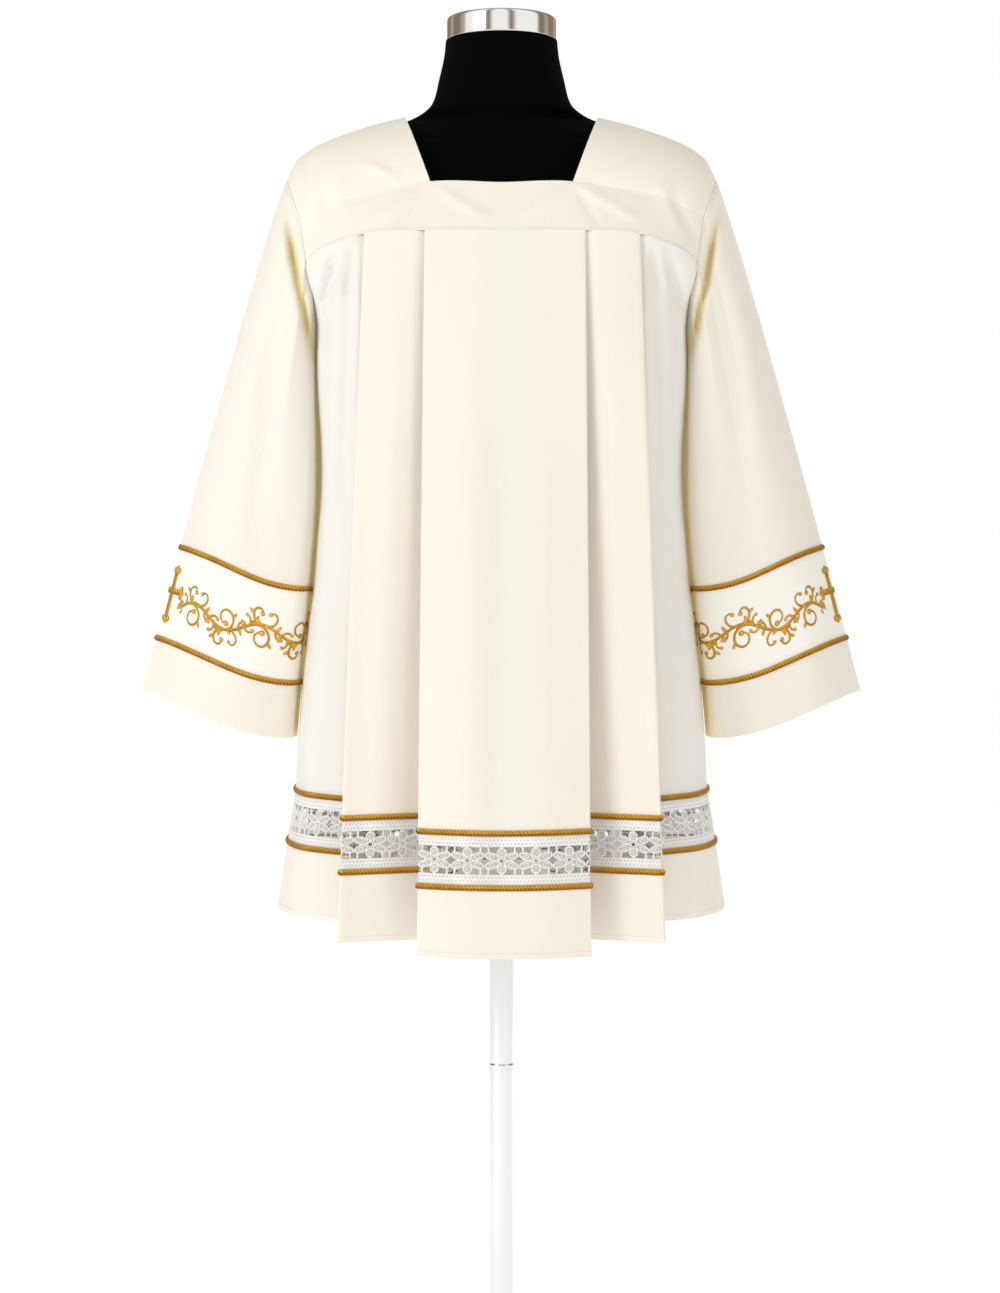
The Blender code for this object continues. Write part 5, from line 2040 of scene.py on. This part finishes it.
@dataclass
class Sleeves:
    """Both wide sleeves with their cords, embroidery and stitches."""

    finishes: Finishes
    panels: dict[Face, Panel]
    rows: int = 96
    columns: int = 200
    backwards: float = 0.009
    band_edge: float = 0.004
    doubled: float = 0.60
    cuff_doubled: float = 0.15
    collar_rows: int = 6
    stitch_inset: float = 0.0022
    flat: Pair = (0.50, 0.54)
    area: float = 0.210

    def build(self) -> None:
        """Makes both sleeves."""
        for side in Side:
            self._sleeve(side)

    def _sleeve(self, side: Side) -> None:
        """Makes one sleeve's pieces."""
        name, finishes = side.value, self.finishes
        shape = SleeveShape(side, self.panels)
        points = shape.grid(self.rows, self.columns)
        surface = GridSurface(points, closed=True)
        share = np.linspace(1.0, 0.0, self.rows)[:, None] * surface.lengths[None, :-1]
        above, below = share - CUFF_BAND, CUFF_ORNAMENT_TOP - share
        banded = soft_step(above / self.band_edge) * soft_step(below / self.band_edge)
        doubled = self.doubled + self.cuff_doubled * (share < CUFF_BAND)
        nodes = [f"{part}_{name}" for part in ("sleeve", "sleeve_band", "cuff")]
        cloth = sewn(f"{name}_sleeve", points, finishes.cream, nodes, True, doubled=doubled,
                     banded=banded, folded=shape.folded(points), close=shape.close(self.columns))
        cords = [trimmed(f"{name}_sleeve_cord_{place}", Cord().drawn(surface, level), surface,
                         finishes.cord, Slot.GOLD, f"sleeve_cord_{place}_{name}")
                 for place, level in (("upper", CUFF_ORNAMENT_TOP), ("lower", CUFF_BAND))]
        if side is Side.RIGHT:
            # The drawing starts at the crease over the arm, which is the last column here.
            surface = GridSurface(np.roll(points, 1, axis=1), closed=True)
        vine = Embroidery(shift=side.sign * self.backwards).drawn(surface)
        sewing = trimmed(f"{name}_sleeve_embroidery", vine, surface, finishes.satin, Slot.GOLD)
        collar = GridSurface(points[:self.collar_rows], closed=True)
        level = float(collar.lengths.mean()) - self.stitch_inset
        row = Stitches(margin=0.0).drawn(collar, level)
        seam = trimmed(f"{name}_armhole_stitches", row, collar, finishes.stitch, Slot.CREAM)


def closed_rings(name: str, rings: Array, places: Array | None = None) -> Mesh:
    """A mesh over rings about the upright axis, closed at both poles.

    Args:
        name: the mesh's name.
        rings: rings by points by three, from the top down.
        places: the flat place of each point, if it has a pattern. A pole lies at its ring's height.

    Returns:
        The mesh.
    """
    count, sides = rings.shape[:2]
    levels = (rings[0, 0, 2], rings[-1, 0, 2])
    points = np.concatenate([rings.reshape(-1, 3), [(0, 0, level) for level in levels]])
    j = np.arange(sides)
    k = (j + 1) % sides
    last = (count - 1) * sides
    top = np.stack([np.full(sides, count * sides), j, k], axis=1)
    foot = np.stack([np.full(sides, count * sides + 1), k + last, j + last], axis=1)
    if places is not None:
        places = np.concatenate([places.reshape(-1, 2), [(0, level) for level in levels]])
    faces = [grid_faces(count, sides, True), np.concatenate([top, foot])]
    return make_mesh(name, points, faces, places)


def turned(name: str, profile: Table, sides: int) -> Mesh:
    """A shape turned about the upright axis.

    Args:
        name: the mesh's name.
        profile: rows of radius and height, down the outside, between the two poles.
        sides: number of points round it.

    Returns:
        The mesh, closed at both poles.
    """
    radius, height = (np.array(column)[:, None] for column in zip(*profile))
    turn = 2 * np.pi * np.arange(sides) / sides
    rings = [radius * np.cos(turn), radius * np.sin(turn), height + 0 * turn]
    return closed_rings(name, np.stack(rings, axis=-1))


@dataclass
class DressForm:
    """The limbless form: a jersey body, a polished cap, and a stand on a round base."""

    finishes: Finishes
    sides: int = 128
    rings: int = 116
    clearance: float = 0.0018
    girth: float = 0.9
    # Columns: height, half breadth, depth behind the middle, depth in front of it, squareness.
    body: Table = (
        (0.780, 0.152, 0.102, 0.100, 2.3), (0.784, 0.160, 0.110, 0.107, 2.3),
        (0.820, 0.166, 0.116, 0.112, 2.3), (0.880, 0.166, 0.115, 0.110, 2.3),
        (0.980, 0.156, 0.102, 0.103, 2.3), (1.060, 0.150, 0.094, 0.100, 2.3),
        (1.130, 0.157, 0.100, 0.106, 2.3), (1.200, 0.168, 0.107, 0.112, 2.3),
        (1.260, 0.178, 0.110, 0.113, 2.4), (1.310, 0.194, 0.106, 0.107, 2.4),
        (1.345, 0.202, 0.096, 0.096, 2.3), (1.368, 0.2065, 0.087, 0.086, 2.2),
        (1.388, 0.2050, 0.079, 0.078, 2.1),
    )
    # Columns: half breadth, depth behind the middle, depth in front of it, squareness.
    shoulder: Table = (
        (0.1990, 0.070, 0.069, 2.0), (0.1910, 0.066, 0.065, 1.9), (0.1750, 0.063, 0.062, 1.8),
        (0.1520, 0.060, 0.057, 1.5), (0.1300, 0.058, 0.054, 1.35), (0.1000, 0.057, 0.054, 1.25),
    )
    neck: Table = (
        (1.4560, 0.0800, 0.061, 0.060, 1.9), (1.4680, 0.0710, 0.061, 0.060, 2.0),
        (1.4900, 0.0655, 0.060, 0.060, 2.0), (1.5120, 0.0605, 0.058, 0.058, 2.0),
        (1.5300, 0.0585, 0.0575, 0.0575, 2.0),
    )
    # Columns: radius, height, down the outer side.
    cap: Table = (
        (0.0200, 1.5545), (0.0400, 1.5545), (0.0530, 1.5544), (0.0545, 1.5542), (0.0555, 1.5538),
        (0.0562, 1.5533), (0.0567, 1.5526), (0.0570, 1.5519), (0.0572, 1.5508), (0.0572, 1.5490),
        (0.0572, 1.5340), (0.0572, 1.5312), (0.0570, 1.5306), (0.0565, 1.5304), (0.0300, 1.5304),
    )
    pole: Table = (
        (0.0120, 0.7797), (0.0125, 0.7790), (0.0125, 0.7680), (0.0125, 0.4600), (0.0125, 0.4590),
        (0.0118, 0.4585), (0.0118, 0.4575), (0.0125, 0.4570), (0.0125, 0.4560), (0.0125, 0.0500),
        (0.0125, 0.0440), (0.0132, 0.0432), (0.0160, 0.0428), (0.0172, 0.0420), (0.0176, 0.0405),
        (0.0176, 0.0180), (0.0185, 0.0150), (0.0210, 0.0128), (0.0240, 0.0118), (0.0262, 0.0112),
        (0.0264, 0.0108), (0.0262, 0.0104), (0.0100, 0.0103),
    )
    base: Table = (
        (0.0300, 0.0100), (0.1000, 0.0100), (0.1900, 0.0100), (0.1955, 0.00995), (0.1975, 0.0094),
        (0.1990, 0.0083), (0.1998, 0.0070), (0.2000, 0.0055), (0.2000, 0.0040), (0.1998, 0.0022),
        (0.1990, 0.0010), (0.1975, 0.0002), (0.1950, 0.0000), (0.1000, 0.0000),
    )

    def _sections(self) -> Array:
        """All sections from the foot to the neck, in rows like those of the body."""
        step = 0.001
        made = []
        for breadth, back, front, squareness in self.shoulder:
            rise = along(SHOULDER_LINE, np.array([breadth - step, breadth, breadth + step]))
            slope = (rise[2] - rise[0]) / (2 * step)
            height = rise[1] - self.clearance * math.hypot(1, slope)
            made.append((height, breadth, back, front, squareness))
        return np.array([*self.body, *made, *self.neck])

    def _torso(self) -> Mesh:
        """The body: its sections are ovals raised to a power, joined by a smooth line."""
        rows = curve_through(self._sections(), self.rings)[::-1]
        height, breadth, back, front, squareness = (rows[:, i:i + 1] for i in range(5))
        turn = 2 * np.pi * np.arange(self.sides) / self.sides
        across = power_of(np.cos(turn), 2 / squareness)
        deep = power_of(np.sin(turn), 2 / squareness)
        depth = np.where(deep > 0, back, front) * deep
        rings = np.stack([breadth * across, depth, height + 0 * turn], axis=-1)
        round_it = np.broadcast_to(np.arange(self.sides) * self.girth / self.sides, rings.shape[:2])
        return closed_rings("form_body", rings,
                            np.stack([round_it, np.broadcast_to(height, round_it.shape)], axis=-1))

    def build(self) -> None:
        """Makes the form's four pieces."""
        finishes = self.finishes
        add_piece(self._torso(), finishes.jersey, ["form_torso"])
        for name, profile, sides, finish, slot, node in (
                ("neck_cap", self.cap, 128, finishes.chrome, Slot.CHROME, "form_neck_cap"),
                ("stand_pole", self.pole, 64, finishes.chrome, Slot.CHROME, "form_pole"),
                ("stand_base", self.base, 160, finishes.metal, Slot.METAL, "form_base")):
            add_piece(turned(name, profile, sides), finish, [node])


@dataclass
class Studio:
    """The camera, the floor, the lights and the white room round them."""

    eye: Triple = (0.0016, 3.2, 0.895)
    lens: float = 84.85
    # Columns: name, place, side length, power.
    lights: tuple[tuple[str, Triple, float, float], ...] = (
        ("key", (2.9, 2.7, 2.5), 1.6, 57.0),
        ("fill", (-2.6, 3.6, 2.3), 2.6, 17.0),
        ("front", (-1.5, -3.6, 2.2), 2.4, 34.0),
    )
    aim: Triple = (0.0, 0.0, 1.0)
    daylight: Triple = (0.950, 0.972, 1.0)
    room: float = 0.66
    bars: Pair = (0.50, -0.38)
    # Bearing at which the dim wings start, from straight ahead of the camera.
    wing_start: float = 1.40
    wing_edge: float = 9.0
    wing_folds: float = 9.0
    wing_dark: Colour = colour(0.24, 0.195, 0.145)
    wing_light: Colour = colour(0.46, 0.395, 0.315)
    # How fast a bar fades away from its middle, and how dark it is there.
    bar_edge: float = 5.5
    bar_depth: float = 1.4
    wall: Colour = colour(1.0, 0.995, 0.97)
    wall_power: float = 1.1
    even: Colour = colour(1.0, 0.982, 0.912)
    floor_tint: Colour = colour(0.88, 0.895, 0.965)
    floor_glow: float = 0.42
    floor_size: float = 40.0
    floor_drop: float = 0.0004

    def build(self) -> None:
        """Sets the scene up."""
        bpy.context.scene.view_settings.view_transform = "Standard"
        self._camera()
        self._floor()
        self._room()
        for name, place, size, power in self.lights:
            self._light(name, place, size, power)

    @staticmethod
    def _stood(name: str, data: Any) -> Object:
        """Puts a camera, a light or the floor in the scene."""
        thing = bpy.data.objects.new(name, data)
        bpy.context.scene.collection.objects.link(thing)
        return thing

    def _camera(self) -> None:
        """A level camera behind the wearer."""
        data = bpy.data.cameras.new("camera")
        data.lens = self.lens
        data.clip_end = 200.0
        camera = self._stood("camera", data)
        camera.location = self.eye
        camera.rotation_euler = (math.pi / 2, 0.0, math.pi)
        bpy.context.scene.camera = camera

    def _light(self, name: str, place: Triple, size: float, power: float) -> None:
        """A soft square light aimed at the middle of the object. Metal mirrors the key alone."""
        data = bpy.data.lights.new(name, "AREA")
        data.energy = power
        data.size = size
        data.color = self.daylight
        light = self._stood(name, data)
        light.location = place
        towards = Vector(self.aim) - Vector(place)
        light.rotation_euler = towards.to_track_quat("-Z", "Y").to_euler()
        light.visible_camera = False
        light.visible_glossy = name == "key"

    def _floor(self) -> None:
        """A wide pale floor just under the base."""
        corners = self.floor_size * np.array([(-1, -1, 0), (1, -1, 0), (1, 1, 0), (-1, 1, 0)])
        mesh = make_mesh("floor", corners - (0, 0, self.floor_drop), [np.array([[0, 1, 2, 3]])])
        floor = self._stood("floor", mesh)
        material = bpy.data.materials.new("pale_floor")
        material.use_nodes = True
        shader = material.node_tree.nodes["Principled BSDF"].inputs
        for socket, value in (("Base Color", self.floor_tint), ("Roughness", 0.9),
                              ("Specular IOR Level", 0.1), ("Emission Color", WHITE),
                              ("Emission Strength", self.floor_glow)):
            shader[socket].default_value = value
        mesh.materials.append(material)

    def _room(self) -> None:
        """White to the eye, even light on cloth, and for polished metal a white wall with two dark
        bars between dim wings."""
        world = bpy.data.worlds.new("room")
        bpy.context.scene.world = world
        world.use_nodes = True
        tree = world.node_tree
        tree.nodes.clear()
        wiring = Wiring(tree)
        ray = wiring.add("LightPath")
        place = wiring.add("SeparateXYZ", {0: wiring.add("TexCoord").outputs["Generated"]})
        bearing = wiring.maths("ARCTAN2", place.outputs[0], place.outputs[1])
        wings = wiring.maths("SUBTRACT", wiring.maths("ABSOLUTE", bearing), self.wing_start)
        wings = wiring.maths("MULTIPLY", wings, self.wing_edge)
        folds = wiring.maths("SINE", wiring.maths("MULTIPLY", bearing, self.wing_folds))
        dim = wiring.mixed(folds, self.wing_dark, self.wing_light)
        for middle in self.bars:
            near = wiring.maths("ABSOLUTE", wiring.maths("SUBTRACT", bearing, middle))
            bar = wiring.ranged(wiring.maths("MULTIPLY", near, self.bar_edge), self.bar_depth, 0.0)
            wings = wiring.maths("MAXIMUM", wings, bar)
        level = wiring.mixed(wiring.maths("MINIMUM", wings, 1.0), self.wall, dim)
        even = wiring.add("Background", {"Color": self.even, "Strength": self.room})
        mirrored = wiring.add("Background", {"Color": level, "Strength": self.wall_power})
        seen = wiring.add("Background", {"Color": WHITE, "Strength": 1.0})
        first = wiring.add("MixShader", {0: ray.outputs["Is Glossy Ray"], 1: even.outputs[0],
                                         2: mirrored.outputs[0]})
        second = wiring.add("MixShader", {0: ray.outputs["Is Camera Ray"], 1: first.outputs[0],
                                          2: seen.outputs[0]})
        end = tree.nodes.new("ShaderNodeOutputWorld")
        tree.links.new(second.outputs[0], end.inputs["Surface"])


def main() -> None:
    """Builds the object's looks and the studio."""
    logging.basicConfig(level=logging.INFO, format="%(message)s")
    finishes = Finishes()
    panels = {face: Panel(face) for face in Face}
    DressForm(finishes).build()
    YokeAndShoulders(finishes).build()
    BodyPanels(finishes, panels).build()
    Sleeves(finishes, panels).build()
    Studio().build()


if __name__ == "__main__":
    main()
